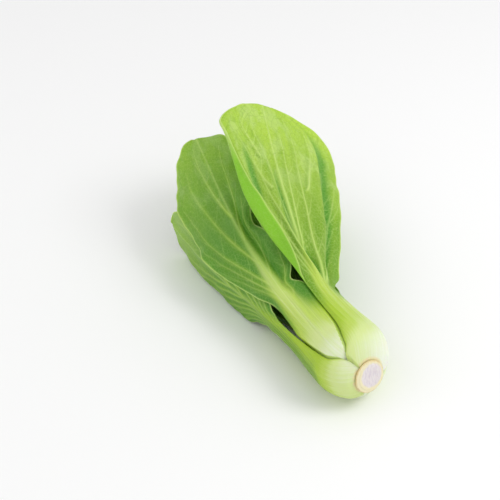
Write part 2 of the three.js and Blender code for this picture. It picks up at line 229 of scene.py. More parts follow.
@dataclass(frozen=True)
class Fold:
    """A lengthwise fold of the blade: its place across, its width and its height.

    foot is its place across where the blade starts, and head its place near the tip. It comes up
    from the share since of the blade's length, and has died away at the share till.
    """

    at: float
    width: float
    height: float
    foot: float | None = None
    head: float | None = None
    since: float = 0.0
    till: float = 1.0

    def relief(self, u: Array, t: Array) -> Array:
        """Height of the fold at places across, for shares of the blade's length.

        Args:
            u: places across, from -1 at the left margin to 1 at the right one.
            t: shares of the blade's length.

        Returns:
            The heights, in millimetres.
        """
        foot = self.at if self.foot is None else self.foot
        head = self.at if self.head is None else self.head
        middle = foot + (self.at - foot) * smoothstep(0, 0.35, t)
        middle = middle + (head - self.at) * smoothstep(0.35, 0.8, t)
        along = smoothstep(self.since, self.since + 0.16, t)
        along = along * (1 - smoothstep(self.till - 0.4, self.till, t))
        return self.height * along * np.exp(-(((u - middle) / self.width) ** 2))


@dataclass(frozen=True)
class Bulge:
    """A place where the margin swings out by some millimetres, or in."""

    place: float
    length: float
    out: float


@dataclass(frozen=True)
class Side:
    """The sizes of one half of a leaf, from its midrib to one margin.

    clasp is the angle that the base wraps round the bulb, and flare how much further it wraps
    close to the cut. narrows holds the places between which the wrapping base gives way to the
    neck's half width.
    """

    clasp: float
    half_width: float
    neck: float
    flare: float = 8.0
    flare_end: float = 12.0
    narrows: tuple[float, float] = (16.0, 66.0)
    opening: float = 1.35
    rounding: float = 2.3
    bulges: tuple[Bulge, ...] = ()


@dataclass(frozen=True)
class Reflex:
    """A left margin that turns over outwards, and how wide the turned strip is along the leaf."""

    places: tuple[float, ...]
    widths: tuple[float, ...]
    radius: float = 1.5
    angle: float = 158.0

    def width_at(self, a: Array) -> Array:
        """Width of the turned strip at a."""
        return spline(self.places, self.widths, a)


@dataclass(frozen=True)
class VeinPath:
    """A lateral vein that leaves the share root at start and runs to another share by end.

    Shares are of the half width. bow under 1 makes it leave steeply and then run along the leaf.
    """

    share: float
    start: float
    end: float
    bow: float = 0.5
    root: float = 0.0


@dataclass(frozen=True)
class StalkTint:
    """How the stalk turns from white, 0, through pale, 1, to green, 3, and deep green, 4.

    rise is gained between two places along the leaf. to_right is added at the right margin and
    taken off at the left one, and to_margins is added at both, past the bulb. A to_right below 0
    is partly the stalk's own colour and partly painted light: a paler right side, lit, and a
    greener left side in painted shade.
    """

    at_cut: float = 0.5
    rise: float = 2.0
    places: tuple[float, float] = (3.0, 35.0)
    to_right: float = 0.0
    to_margins: float = 1.0

    def greenness(self, share: Array, a: Array) -> Array:
        """The tint at places across and along.

        Args:
            share: places across, in shares of the half width.
            a: places along the axis.

        Returns:
            The tints, from 0 to 4.
        """
        # Partly painted light: with to_right below 0 the lit right side is paler, the shaded left
        # greener.
        sides = self.to_right * share * (0.4 + 0.6 * smoothstep(0, 30, a))
        sides = sides + self.to_margins * share**2 * smoothstep(18, 48, a)
        return self.at_cut + self.rise * smoothstep(*self.places, a) + sides


@dataclass(frozen=True)
class Leaf:
    """The sizes of one leaf, and its form where nothing lies over it.

    around is in degrees clockwise from up, seen from the cut, and drift is how far the midrib
    turns round the axis on its way to the tip. reach is the midline's distance from the axis at
    the belly, the neck, low and high in the blade and at the tip. slips_over names the leaves
    that cover its base while its blade lies over theirs. shade is painted shade: how far the
    blade's colour is darkened towards a shaded green, with its veins and crest highlights dimmed.
    """

    name: str
    around: float
    drift: float
    start: float
    tip: float
    reach: tuple[float, float, float, float, float]
    left: Side
    right: Side
    thickness: float
    blade_start: float = 60.0
    cup: float = 0.3
    widest: float = 0.58
    ruffle: float = 1.6
    wave_length: float = 45.0
    wave_phase: float = 0.0
    fine_waves: float = 0.25
    folds: tuple[Fold, ...] = ()
    rib: float = 1.0
    base_radius: float = 10.5
    swell: float = 0.62
    floor: float = 0.4
    kind: LeafKind = LeafKind.WRAPPER
    slips_over: tuple[str, ...] = ()
    reflex: Reflex | None = None
    veins: tuple[VeinPath, ...] = ()
    vein_count: int = 6
    vein_width: float = 0.7
    pleat: float = 0.7
    tuck: float = 1.2
    rib_width: float = 7.0
    tint: StalkTint = StalkTint()
    # painted shade on the blade, from 0 for a lit leaf to 1
    shade: float = 0.6
    seed: int = 1
    grid: tuple[int, int] = (90, 37)
    fineness: int = 3

    belly_place: ClassVar[float] = 20.0
    neck_place: ClassVar[float] = 55.0
    low_blade_place: ClassVar[float] = 85.0
    high_blade_place: ClassVar[float] = 130.0
    edge_thickness: ClassVar[float] = 0.5
    blade_thickness: ClassVar[float] = 0.55

    def midline(self, a: Array) -> Array:
        """Distance of the outer face's midline from the axis.

        Args:
            a: places along the axis.

        Returns:
            The distances, in millimetres.
        """
        belly = self.reach[0]
        rise = np.clip((a - self.start) / (self.belly_place - self.start), 0, 1)
        bulb = self.base_radius + (belly - self.base_radius) * (1 - (1 - rise) ** 2.3) ** self.swell
        places = (
            self.belly_place,
            self.neck_place,
            self.low_blade_place,
            self.high_blade_place,
            self.tip,
        )
        return np.where(a < self.belly_place, bulb, spline(places, self.reach, a))

    def midrib_angle(self, a: Array) -> Array:
        """Where the midrib stands round the axis, in radians."""
        return np.radians(self.around + self.drift * smoothstep(30, self.tip, a))

    def grown(self, a: Array) -> Array:
        """Share of the blade's length."""
        return np.clip((a - self.blade_start) / (self.tip - self.blade_start), 0, 1)

    def _side_width(self, side: Side, a: Array) -> Array:
        """Half width of one side along its cross-section.

        Args:
            side: the sizes of that side.
            a: places along the axis.

        Returns:
            The half widths, in millimetres.
        """
        flare = side.flare * (1 - smoothstep(2, side.flare_end, a))
        wrap = np.radians(side.clasp + flare) * np.minimum(self.midline(a), self.reach[0])
        narrowing = (1 - smoothstep(*side.narrows, a)) ** 1.35
        stalk_ends = 1 - smoothstep(self.blade_start + 5, self.tip - 3, a)
        stalk = (side.neck + (wrap - side.neck) * narrowing) * stalk_ends
        t = self.grown(a)
        widening = np.sin(np.clip(t / self.widest, 0, 1) * math.pi / 2) ** side.opening
        shoulder = np.clip((t - self.widest) / (1 - self.widest), 0, 1) ** side.rounding
        tapering = np.sqrt(np.clip(1 - shoulder, 0, 1))
        blade = side.half_width * np.where(t < self.widest, widening, tapering)
        width = np.cbrt(stalk**3 + blade**3)
        for bulge in side.bulges:
            width = width + bulge.out * np.exp(-(((a - bulge.place) / bulge.length) ** 2))
        return width

    def half_width(self, a: Array, right: Array) -> Array:
        """Half width of the leaf along its cross-section.

        Args:
            a: places along the axis.
            right: true for the right half, false for the left.

        Returns:
            The half widths.
        """
        return np.where(right, self._side_width(self.right, a), self._side_width(self.left, a))

    def free(self, u: Array, a: Array) -> tuple[Array, Array]:
        """The outer face where nothing lies over it.

        Args:
            u: places across, from -1 at the left margin to 1 at the right one.
            a: places along the axis.

        Returns:
            Angles round the axis and distances from it.
        """
        across = u * self.half_width(a, u > 0)
        distance = self.midline(a)
        cupping = 1 + (self.cup - 1) * smoothstep(30, self.blade_start + 35, a)
        curvature = cupping / distance
        x = np.sin(curvature * across) / curvature
        y = distance - (1 - np.cos(curvature * across)) / curvature
        theta = self.midrib_angle(a) + np.arctan2(x, y)
        return theta, np.hypot(x, y) + self.relief(u, a, across)

    def relief(self, u: Array, a: Array, across: Array) -> Array:
        """Height of the waved margins, the lengthwise folds and the midrib.

        Args:
            u: places across, from -1 at the left margin to 1 at the right one.
            a: places along the axis.
            across: the same places across as u, in millimetres from the midrib.

        Returns:
            The heights, in millimetres.
        """
        t = self.grown(a)
        wave = np.sin(2 * math.pi * a / self.wave_length + self.wave_phase + 1.3 * np.sign(u))
        height = self.ruffle * smoothstep(0, 0.35, t) * np.abs(u) ** 2.2 * wave
        for fold in self.folds:
            height = height + fold.relief(u, t)
        height = height - self.tuck * np.abs(u) ** 5 * (1 - smoothstep(35, self.blade_start, a))
        rib_starts = smoothstep(self.blade_start - 25, self.blade_start + 5, a)
        rib_width = 2.2 + 5 * (1 - t)
        return height + self.rib * rib_starts * (1 - t) * np.exp(-((across / rib_width) ** 2))

    def valley_shade(self, u: Array, t: Array) -> Array:
        """How deep in a folded valley each place lies, from 0 to 1, as a share of painted shade."""
        valleys = [fold.relief(u, t) / fold.height for fold in self.folds if fold.height < 0]
        return smoothstep(0.1, 0.85, np.maximum.reduce([np.zeros_like(u), *valleys]))

    def thickness_at(self, u: Array, a: Array, across: Array) -> Array:
        """Thickness, square to the face, thinning out to the margins.

        Args:
            u: places across, from -1 at the left margin to 1 at the right one.
            a: places along the axis.
            across: the same places across as u, in millimetres from the midrib.

        Returns:
            The thicknesses, in millimetres.
        """
        thinning = 1 - 0.42 * smoothstep(25, self.blade_start, a)
        stalk = self.thickness * (0.35 + 0.65 * smoothstep(self.start, 18, a)) * thinning
        edge = self.edge_thickness
        in_stalk = edge + (stalk - edge) * np.clip(1 - np.abs(u) ** 2.2, 0, 1)
        t = self.grown(a)
        rib = stalk * (1 - smoothstep(self.blade_start - 10, self.tip, a)) ** 1.2
        blade = self.blade_thickness
        rib_shape = np.exp(-((across / (2 + 4 * (1 - t))) ** 2))
        in_blade = blade + np.maximum(rib - blade, 0) * rib_shape
        share = smoothstep(0, 0.16, t)
        return in_stalk * (1 - share) + in_blade * share

    def row_places(self) -> Array:
        """Places of the rows along the axis, closer together at both ends.

        Returns:
            The places, from the start to the tip.
        """
        s = np.linspace(0, 1, self.grid[0])
        eased = s - 0.55 * np.sin(2 * math.pi * s) / (2 * math.pi)
        rows = self.start + (self.tip - self.start) * eased
        rows[-1] -= 0.25
        return rows

    def columns(self) -> Array:
        """Places of the columns across, closer together along the midrib and the margins."""
        s = np.linspace(-1, 1, self.grid[1])
        return s - 0.12 * np.sin(2 * math.pi * s) / math.pi


# ---------------------------------------------------------------- a leaf laid under the others


@dataclass(frozen=True)
class Fit:
    """How closely leaves lie on each other, in millimetres.

    gap is left between two leaves. Past a leaf's edge the one below rises by edge_lift for each
    millimetre after edge_room, and ever faster. Past crossing_place a leaf that slips over
    others comes up between them. blade_zone is where the firm press of the stalks gives way to
    the loose one of the blades, and floor_zone where the blades lie down ever more softly.
    """

    gap: float = 0.12
    edge_room: float = 0.2
    edge_lift: float = 2.6
    edge_lift_growth: float = 0.3
    press_softness: float = 1.6
    snug_softness: float = 0.6
    core_clearance: float = 0.3
    slack_cap: float = 9.0
    crossing_place: float = 63.0
    crossing_slope: float = 1.5
    blade_zone: tuple[float, float] = (40.0, 66.0)
    floor_zone: tuple[float, float] = (50.0, 100.0)
    floor_softness: float = 0.05
    floor_softness_growth: float = 6.0


class LaidLeaf:
    """A leaf pressed under the leaves that lie over it."""

    fit: ClassVar[Fit] = Fit()

    def __init__(self, leaf: Leaf, above: Sequence[LaidLeaf], axis: HeadAxis) -> None:
        """Lays the leaf.

        Args:
            leaf: its sizes.
            above: the leaves already laid, which it goes under.
            axis: the axis that they all stand round.
        """
        fit = self.fit
        self.leaf = leaf
        self.axis = axis
        self.rows = leaf.row_places()
        self.columns = leaf.columns()
        self.a = self.rows[:, None] + 0 * self.columns
        self.u = self.columns + 0 * self.a
        self.theta, free = leaf.free(self.u, self.a)
        slack = np.full_like(free, fit.slack_cap)
        for laid in above:
            room = laid.room_under(self.theta, self.a)
            if laid.leaf.name in leaf.slips_over:
                room = room + fit.crossing_slope * np.maximum(self.a - fit.crossing_place, 0)
            elif leaf.name in laid.leaf.slips_over:
                room = room + fit.crossing_slope * np.maximum(fit.crossing_place - self.a, 0)
            slack = np.minimum(slack, room - free)
        in_blade = smoothstep(*fit.blade_zone, self.a)
        snug = np.mean(windows(np.minimum.reduce(windows(slack, 1)), 1), axis=0)
        loose = np.mean(windows(np.minimum.reduce(windows(slack, 2)), 2), axis=0)
        slack = snug + (loose - snug) * in_blade
        softness = fit.snug_softness + (fit.press_softness - fit.snug_softness) * in_blade
        pressed = free + soft_min(slack, np.zeros_like(slack), softness)
        lying_down = smoothstep(*fit.floor_zone, self.a)
        softness = fit.floor_softness + fit.floor_softness_growth * lying_down
        self.outer = soft_min(pressed, axis.floor_limit(self.theta, leaf.floor), softness)
        self.looseness = smoothstep(0.0, 2.0, slack)
        self.inner = self.outer - self._depth()

    def _depth(self) -> Array:
        """Thickness measured along the radius, so that steep parts keep their own thickness.

        Returns:
            The depths, in millimetres.
        """
        slope_round = np.gradient(self.outer, axis=1) / np.gradient(self.theta, axis=1)
        slope_along = np.gradient(self.outer, self.rows, axis=0)
        steep = np.sqrt(1 + np.minimum((slope_round / self.outer) ** 2 + slope_along**2, 5))
        across = self.u * self.leaf.half_width(self.a, self.u > 0)
        depth = self.leaf.thickness_at(self.u, self.a, across) * steep
        room = self.outer - self.axis.core_radius(self.a) - self.fit.core_clearance
        return np.minimum(depth, room)

    def room_under(self, theta: Array, a: Array) -> Array:
        """How far from the axis a leaf below may reach.

        Args:
            theta: angles round the axis.
            a: places along it.

        Returns:
            The distances, rising past this leaf's margins and tip.
        """
        rows = self.rows
        i = np.clip(np.searchsorted(rows, a) - 1, 0, len(rows) - 2)
        f = np.clip((a - rows[i]) / (rows[i + 1] - rows[i]), 0, 1)[..., None]
        thetas = self.theta[i] * (1 - f) + self.theta[i + 1] * f
        inners = self.inner[i] * (1 - f) + self.inner[i + 1] * f
        middle = thetas[..., thetas.shape[-1] // 2]
        at = (theta - middle + math.pi) % (2 * math.pi) - math.pi
        thetas = thetas - middle[..., None]
        j = np.clip((thetas < at[..., None]).sum(-1) - 1, 0, thetas.shape[-1] - 2)[..., None]
        low, high = (np.take_along_axis(thetas, k, -1)[..., 0] for k in (j, j + 1))
        g = np.clip((at - low) / np.maximum(high - low, 1e-9), 0, 1)
        under_low, under_high = (np.take_along_axis(inners, k, -1)[..., 0] for k in (j, j + 1))
        inner = under_low * (1 - g) + under_high * g
        aside = np.maximum(np.maximum(thetas[..., 0] - at, at - thetas[..., -1]), 0)
        past = np.hypot(aside * np.maximum(inner, 12.0), np.maximum(a - rows[-1], 0))
        past = np.maximum(past - self.fit.edge_room, 0)
        lift = past * (self.fit.edge_lift + past * self.fit.edge_lift_growth)
        room = inner - self.fit.gap + lift
        return np.where(a < rows[0] - 0.8, FREE, room)


# ---------------------------------------------------------------- veins


@dataclass(frozen=True)
class Vein:
    """One vein: its points in (share of the half width, place along), its width and strength."""

    points: Array
    width: float
    strength: float


class Venation:
    """The veins of one leaf's blade: laterals that fan out from the midrib, and their branches."""

    branch_share: ClassVar[float] = 0.56
    lateral_points: ClassVar[int] = 25
    branch_points: ClassVar[int] = 8
    branch_strength: ClassVar[float] = 0.5

    def __init__(self, leaf: Leaf) -> None:
        """Grows the veins.

        Args:
            leaf: the leaf whose blade they run through.
        """
        self.leaf = leaf
        self.random = np.random.default_rng(leaf.seed)
        self.primaries: list[Vein] = []
        self.branches: list[Vein] = []
        for path in leaf.veins or self._fan():
            self._grow_lateral(path)

    def _fan(self) -> list[VeinPath]:
        """Laterals at even steps from the midrib to the margin, on both sides.

        Returns:
            The paths, the left side's first.
        """
        leaf = self.leaf
        length = leaf.tip - leaf.blade_start
        paths = []
        for side in (-1, 1):
            for k in range(leaf.vein_count):
                outer = (k + 0.4 + self.random.uniform(-0.12, 0.12)) / leaf.vein_count
                inner = 1 - outer
                start = leaf.blade_start - 8 + length * 0.5 * inner**1.2
                end = leaf.blade_start + length * (0.42 + 0.54 * inner)
                share = side * (0.5 + 0.45 * outer)
                paths.append(VeinPath(share, start, min(end, leaf.tip - 5), 0.3 + 0.5 * inner))
        return paths

    def _grow_lateral(self, path: VeinPath) -> None:
        """Adds a lateral and its branches.

        Args:
            path: where the lateral runs.
        """
        s = np.linspace(0, 1, self.lateral_points) ** 1.6
        wander = self.random.normal(0, 0.012, 2)
        swing = wander[0] * np.sin(math.pi * s) + wander[1] * np.sin(2.7 * math.pi * s) * s
        share = path.root + (path.share - path.root) * s**path.bow + swing
        points = np.stack([share, path.start + (path.end - path.start) * s], 1)
        self.primaries.append(Vein(points, self.leaf.vein_width, self.random.uniform(0.7, 1.0)))
        side = math.copysign(1, path.share)
        for k, at in enumerate(np.arange(0.34, 0.93, 0.12)):
            place = at + self.random.uniform(-0.03, 0.03)
            self._grow_branch(points, place, side if k % 2 == 0 else -side)

    def _grow_branch(self, parent: Array, at: float, side: float) -> None:
        """Adds a branch that leaves a lateral towards one side.

        Args:
            parent: the lateral's points.
            at: how far along the lateral it leaves, as a share.
            side: 1 towards the right, -1 towards the left.
        """
        i = int(at * (len(parent) - 2))
        share, place = parent[i]
        half = float(self.leaf.half_width(np.array(place), np.array(share > 0)))
        run = self.random.uniform(11, 20)
        reach = self.random.uniform(4, 7.5) / max(half, 6.0)
        t = np.linspace(0, 1, self.branch_points)
        shares = np.clip(share + side * reach * t**0.75, -0.97, 0.97)
        width = self.leaf.vein_width * self.branch_share
        points = np.stack([shares, place + run * t], 1)
        self.branches.append(Vein(points, width, self.branch_strength))

    def _in_plane(self, vein: Vein) -> Array:
        """The vein's points in millimetres: across the blade, and along the axis."""
        share, along = vein.points.T
        return np.stack([share * self.leaf.half_width(along, share > 0), along], 1)

    @staticmethod
    def _nearest(line: Array, across: Array, along: Array) -> tuple[Array, Array]:
        """Signed distance to a line from each point, and how far along it the nearest point is.

        Args:
            line: the line's corners, as places across and along.
            across: the points' places across.
            along: the points' places along.

        Returns:
            The distances, and the shares of the line's length.
        """
        best = np.full(across.shape, 1e9)
        share = np.zeros(across.shape)
        count = len(line) - 1
        for k in range(count):
            x0, y0 = line[k]
            dx, dy = line[k + 1] - line[k]
            t = ((across - x0) * dx + (along - y0) * dy) / (dx * dx + dy * dy)
            t = np.clip(t, 0, 1)
            gone = np.hypot(across - x0 - t * dx, along - y0 - t * dy)
            gone = np.copysign(gone, (across - x0) * dy - (along - y0) * dx)
            nearer = np.abs(gone) < np.abs(best)
            best = np.where(nearer, gone, best)
            share = np.where(nearer, (k + t) / count, share)
        return best, share

    def marks(self, across: Array, along: Array) -> tuple[Array, Array, Array]:
        """How strongly each point lies on a vein, on a pleat's shoulder and in painted shade.

        Args:
            across: places across the blade, in mm from the midrib.
            along: places along the axis, in mm.

        Returns:
            The strengths of the veins, of the pleats and of the painted shade left of the main
            veins, each from 0 to 1.
        """
        leaf = self.leaf
        vein = np.zeros(across.shape)
        pleat = np.zeros(across.shape)
        shaded_flank = np.zeros(across.shape)
        for item in self.primaries + self.branches:
            distance, share = self._nearest(self._in_plane(item), across, along)
            width = item.width * (1 - 0.5 * share)
            taper = item.strength * (1 - 0.55 * share**1.5)
            vein = np.maximum(vein, taper * np.exp(-((distance / width) ** 2)))
            if item.width == leaf.vein_width:
                spread = 1.3 + 2.4 * share
                shoulder = (1 - 0.6 * share) * np.exp(-((distance / spread) ** 2))
                pleat = np.maximum(pleat, shoulder)
                # Painted shade: a darker band down the left side of each main vein.
                beside = (-distance - 1.2 - 0.8 * share) / (0.9 + 1.3 * share)
                shaded_flank = np.maximum(shaded_flank, taper * (1 - 0.5 * share) * np.exp(-(beside**2)))
        t = leaf.grown(along)
        broad = leaf.rib_width / 7
        midrib_width = 0.7 + 2.6 * broad * (1 - t) ** 2.5
        present = smoothstep(leaf.blade_start - 12, leaf.blade_start + 12, along)
        midrib = present * (1 - 0.45 * t) * np.exp(-((across / midrib_width) ** 2))
        rib_shoulder = present * (1 - t) * np.exp(-((across / (6 - 3 * t) / broad) ** 2))
        return np.maximum(vein, midrib), np.maximum(pleat, rib_shoulder), shaded_flank * present


# ---------------------------------------------------------------- meshes


def grid_quads(rows: int, columns: int, offset: int, flipped: bool) -> Array:
    """Corner numbers of a grid's faces, with the other winding if flipped.

    Args:
        rows: how many rows of corners.
        columns: how many columns of corners.
        offset: the number of the first corner.
        flipped: whether the faces wind the other way.

    Returns:
        Four corner numbers for each face.
    """
    corner = np.arange(rows * columns).reshape(rows, columns) + offset
    a, b, c, d = corner[:-1, :-1], corner[:-1, 1:], corner[1:, 1:], corner[1:, :-1]
    order = (a, d, c, b) if flipped else (a, b, c, d)
    return np.stack(order, -1).reshape(-1, 4)


def rim_quads(rows: int, columns: int) -> Array:
    """Corner numbers of the faces that join a sheet's two grids round their edge.

    Args:
        rows: how many rows of corners each grid has.
        columns: how many columns.

    Returns:
        Four corner numbers for each face.
    """
    corner = np.arange(rows * columns).reshape(rows, columns)
    loop = np.concatenate(
        [corner[::-1, 0], corner[0, 1:], corner[1:, -1], corner[-1, -2::-1]]
    )
    count = rows * columns
    here, there = loop[:-1], loop[1:]
    return np.stack([there, here, here + count, there + count], -1)


def added(name: str, data: bpy.types.ID) -> bpy.types.Object:
    """A new object that shows the data, linked to the scene."""
    made = bpy.data.objects.new(name, data)
    bpy.context.scene.collection.objects.link(made)
    return made


def mesh_object(
    name: str, points: Array, quads: Array, material: bpy.types.Material
) -> bpy.types.Object:
    """A smooth mesh object.

    Args:
        name: the piece's name.
        points: its vertices, in millimetres.
        quads: four corner numbers for each face.
        material: its material.

    Returns:
        The object, linked to the scene.
    """
    mesh = bpy.data.meshes.new(name)
    mesh.vertices.add(len(points))
    mesh.vertices.foreach_set("co", (points * MM).astype(np.float32).ravel())
    mesh.loops.add(quads.size)
    mesh.loops.foreach_set("vertex_index", quads.astype(np.int32).ravel())
    mesh.polygons.add(len(quads))
    mesh.polygons.foreach_set("loop_start", np.arange(0, quads.size, 4, dtype=np.int32))
    mesh.update(calc_edges=True)
    mesh.validate()
    mesh.shade_smooth()
    mesh.materials.append(material)
    return added(name, mesh)


def set_attribute(made: bpy.types.Object, name: str, values: Array) -> None:
    """Stores one number, or one vector, for each vertex under a name that materials read.

    Args:
        made: the object.
        name: the attribute's name.
        values: a number or a vector for each vertex.
    """
    kind = "FLOAT_VECTOR" if values.ndim > 1 else "FLOAT"
    attribute = made.data.attributes.new(name, kind, "POINT")
    key = "vector" if values.ndim > 1 else "value"
    attribute.data.foreach_set(key, values.astype(np.float32).ravel())


# ---------------------------------------------------------------- materials


def srgb(red: int, green: int, blue: int) -> tuple[float, float, float, float]:
    """A colour from its usual 0 to 255 values, as a linear one.

    Args:
        red: red, from 0 to 255.
        green: green.
        blue: blue.

    Returns:
        The linear colour, with its alpha.
    """
    parts = (value / 255 for value in (red, green, blue))
    linear = [p / 12.92 if p <= 0.04045 else ((p + 0.055) / 1.055) ** 2.4 for p in parts]
    return (*linear, 1.0)


class Shader:
    """A node material under construction."""

    def __init__(self, name: str) -> None:
        """Starts a material with only its output.

        Args:
            name: the material's name.
        """
        self.material = bpy.data.materials.new(name)
        self.material.use_nodes = True
        self.tree = self.material.node_tree
        self.tree.nodes.clear()

    def _node(self, kind: str, **settings: object) -> bpy.types.Node:
        """Adds a node and sets its properties.

        Args:
            kind: the node's type.
            **settings: its properties by name.

        Returns:
            The node.
        """
        node = self.tree.nodes.new(kind)
        for key, value in settings.items():
            setattr(node, key, value)
        return node

    def _plug(self, socket: Socket, value: object) -> None:
        """Links a socket to another, or sets its value.

        Args:
            socket: the input to fill.
            value: another node's output, or a constant.
        """
        if isinstance(value, Socket):
            self.tree.links.new(value, socket)
        else:
            socket.default_value = value

    def attribute(self, name: str) -> Socket:
        """A stored number."""
        return self._node("ShaderNodeAttribute", attribute_name=name).outputs["Fac"]

    def vector_attribute(self, name: str) -> Socket:
        """A stored vector."""
        return self._node("ShaderNodeAttribute", attribute_name=name).outputs["Vector"]

    def math(self, operation: str, first: object, second: object) -> Socket:
        """A number worked out from two others.

        Args:
            operation: what is worked out.
            first: the first number.
            second: the second number.

        Returns:
            The result's socket.
        """
        node = self._node("ShaderNodeMath", operation=operation)
        self._plug(node.inputs[0], first)
        self._plug(node.inputs[1], second)
        return node.outputs[0]

    def plus(self, first: object, second: object) -> Socket:
        """The sum of two numbers."""
        return self.math("ADD", first, second)

    def minus(self, first: object, second: object) -> Socket:
        """The first number less the second."""
        return self.math("SUBTRACT", first, second)

    def times(self, first: object, second: object) -> Socket:
        """The product of two numbers."""
        return self.math("MULTIPLY", first, second)

    def share(self, name: str, strength: object) -> Socket:
        """A stored number times a strength."""
        return self.times(self.attribute(name), strength)

    def ramp(self, value: object, low: float, high: float) -> Socket:
        """A smooth 0 to 1 as value goes from low to high.

        Args:
            value: the number to read.
            low: where it gives 0.
            high: where it gives 1.

        Returns:
            The result's socket.
        """
        node = self._node("ShaderNodeMapRange", interpolation_type="SMOOTHSTEP")
        self._plug(node.inputs["Value"], value)
        node.inputs["From Min"].default_value = low
        node.inputs["From Max"].default_value = high
        return node.outputs["Result"]

    def mix(self, share: object, first: object, second: object) -> Socket:
        """A colour between two.

        Args:
            share: how much of the second colour.
            first: the first colour, as a socket or from 0 to 255.
            second: the second colour, likewise.

        Returns:
            The result's socket.
        """
        node = self._node("ShaderNodeMix", data_type="RGBA")
        self._plug(node.inputs["Factor"], share)
        for socket, colour in ((node.inputs[6], first), (node.inputs[7], second)):
            self._plug(socket, srgb(*colour) if isinstance(colour, tuple) else colour)
        return node.outputs[2]

    def scaled(self, vector: object, factors: Triple) -> Socket:
        """A vector stretched along its own axes.

        Args:
            vector: the vector.
            factors: how much it grows along each axis.

        Returns:
            The result's socket.
        """
        node = self._node("ShaderNodeVectorMath", operation="MULTIPLY")
        self._plug(node.inputs[0], vector)
        node.inputs[1].default_value = factors
        return node.outputs[0]

    def noise(self, vector: object, scale: float, detail: float = 3.0) -> Socket:
        """Cloudy noise from 0 to 1.

        Args:
            vector: where to read the noise.
            scale: how fine it is.
            detail: how many finer layers it has.

        Returns:
            The result's socket.
        """
        node = self._node("ShaderNodeTexNoise")
        self._plug(node.inputs["Vector"], vector)
        node.inputs["Scale"].default_value = scale
        node.inputs["Detail"].default_value = detail
        return node.outputs["Fac"]

    def cell_edges(self, vector: object, scale: float) -> Socket:
        """Distance to the edge of the nearest cell.

        Args:
            vector: where to read the cells.
            scale: how small they are.

        Returns:
            The result's socket.
        """
        node = self._node("ShaderNodeTexVoronoi", feature="DISTANCE_TO_EDGE")
        self._plug(node.inputs["Vector"], vector)
        node.inputs["Scale"].default_value = scale
        return node.outputs["Distance"]

    def bump(self, height: object, strength: float, distance: float) -> Socket:
        """A normal roughened by a height.

        Args:
            height: the height.
            strength: how much of it shows.
            distance: its full height, in metres.

        Returns:
            The normal's socket.
        """
        node = self._node("ShaderNodeBump")
        self._plug(node.inputs["Height"], height)
        node.inputs["Strength"].default_value = strength
        node.inputs["Distance"].default_value = distance
        return node.outputs["Normal"]

    def surface(self, **inputs: object) -> bpy.types.Material:
        """Ends the material in one surface shader.

        Args:
            **inputs: the shader's inputs, named with _ for each space.

        Returns:
            The finished material.
        """
        shader = self._node("ShaderNodeBsdfPrincipled")
        for key, value in inputs.items():
            self._plug(shader.inputs[key.replace("_", " ")], value)
        output = self._node("ShaderNodeOutputMaterial")
        self.tree.links.new(shader.outputs[0], output.inputs["Surface"])
        return self.material


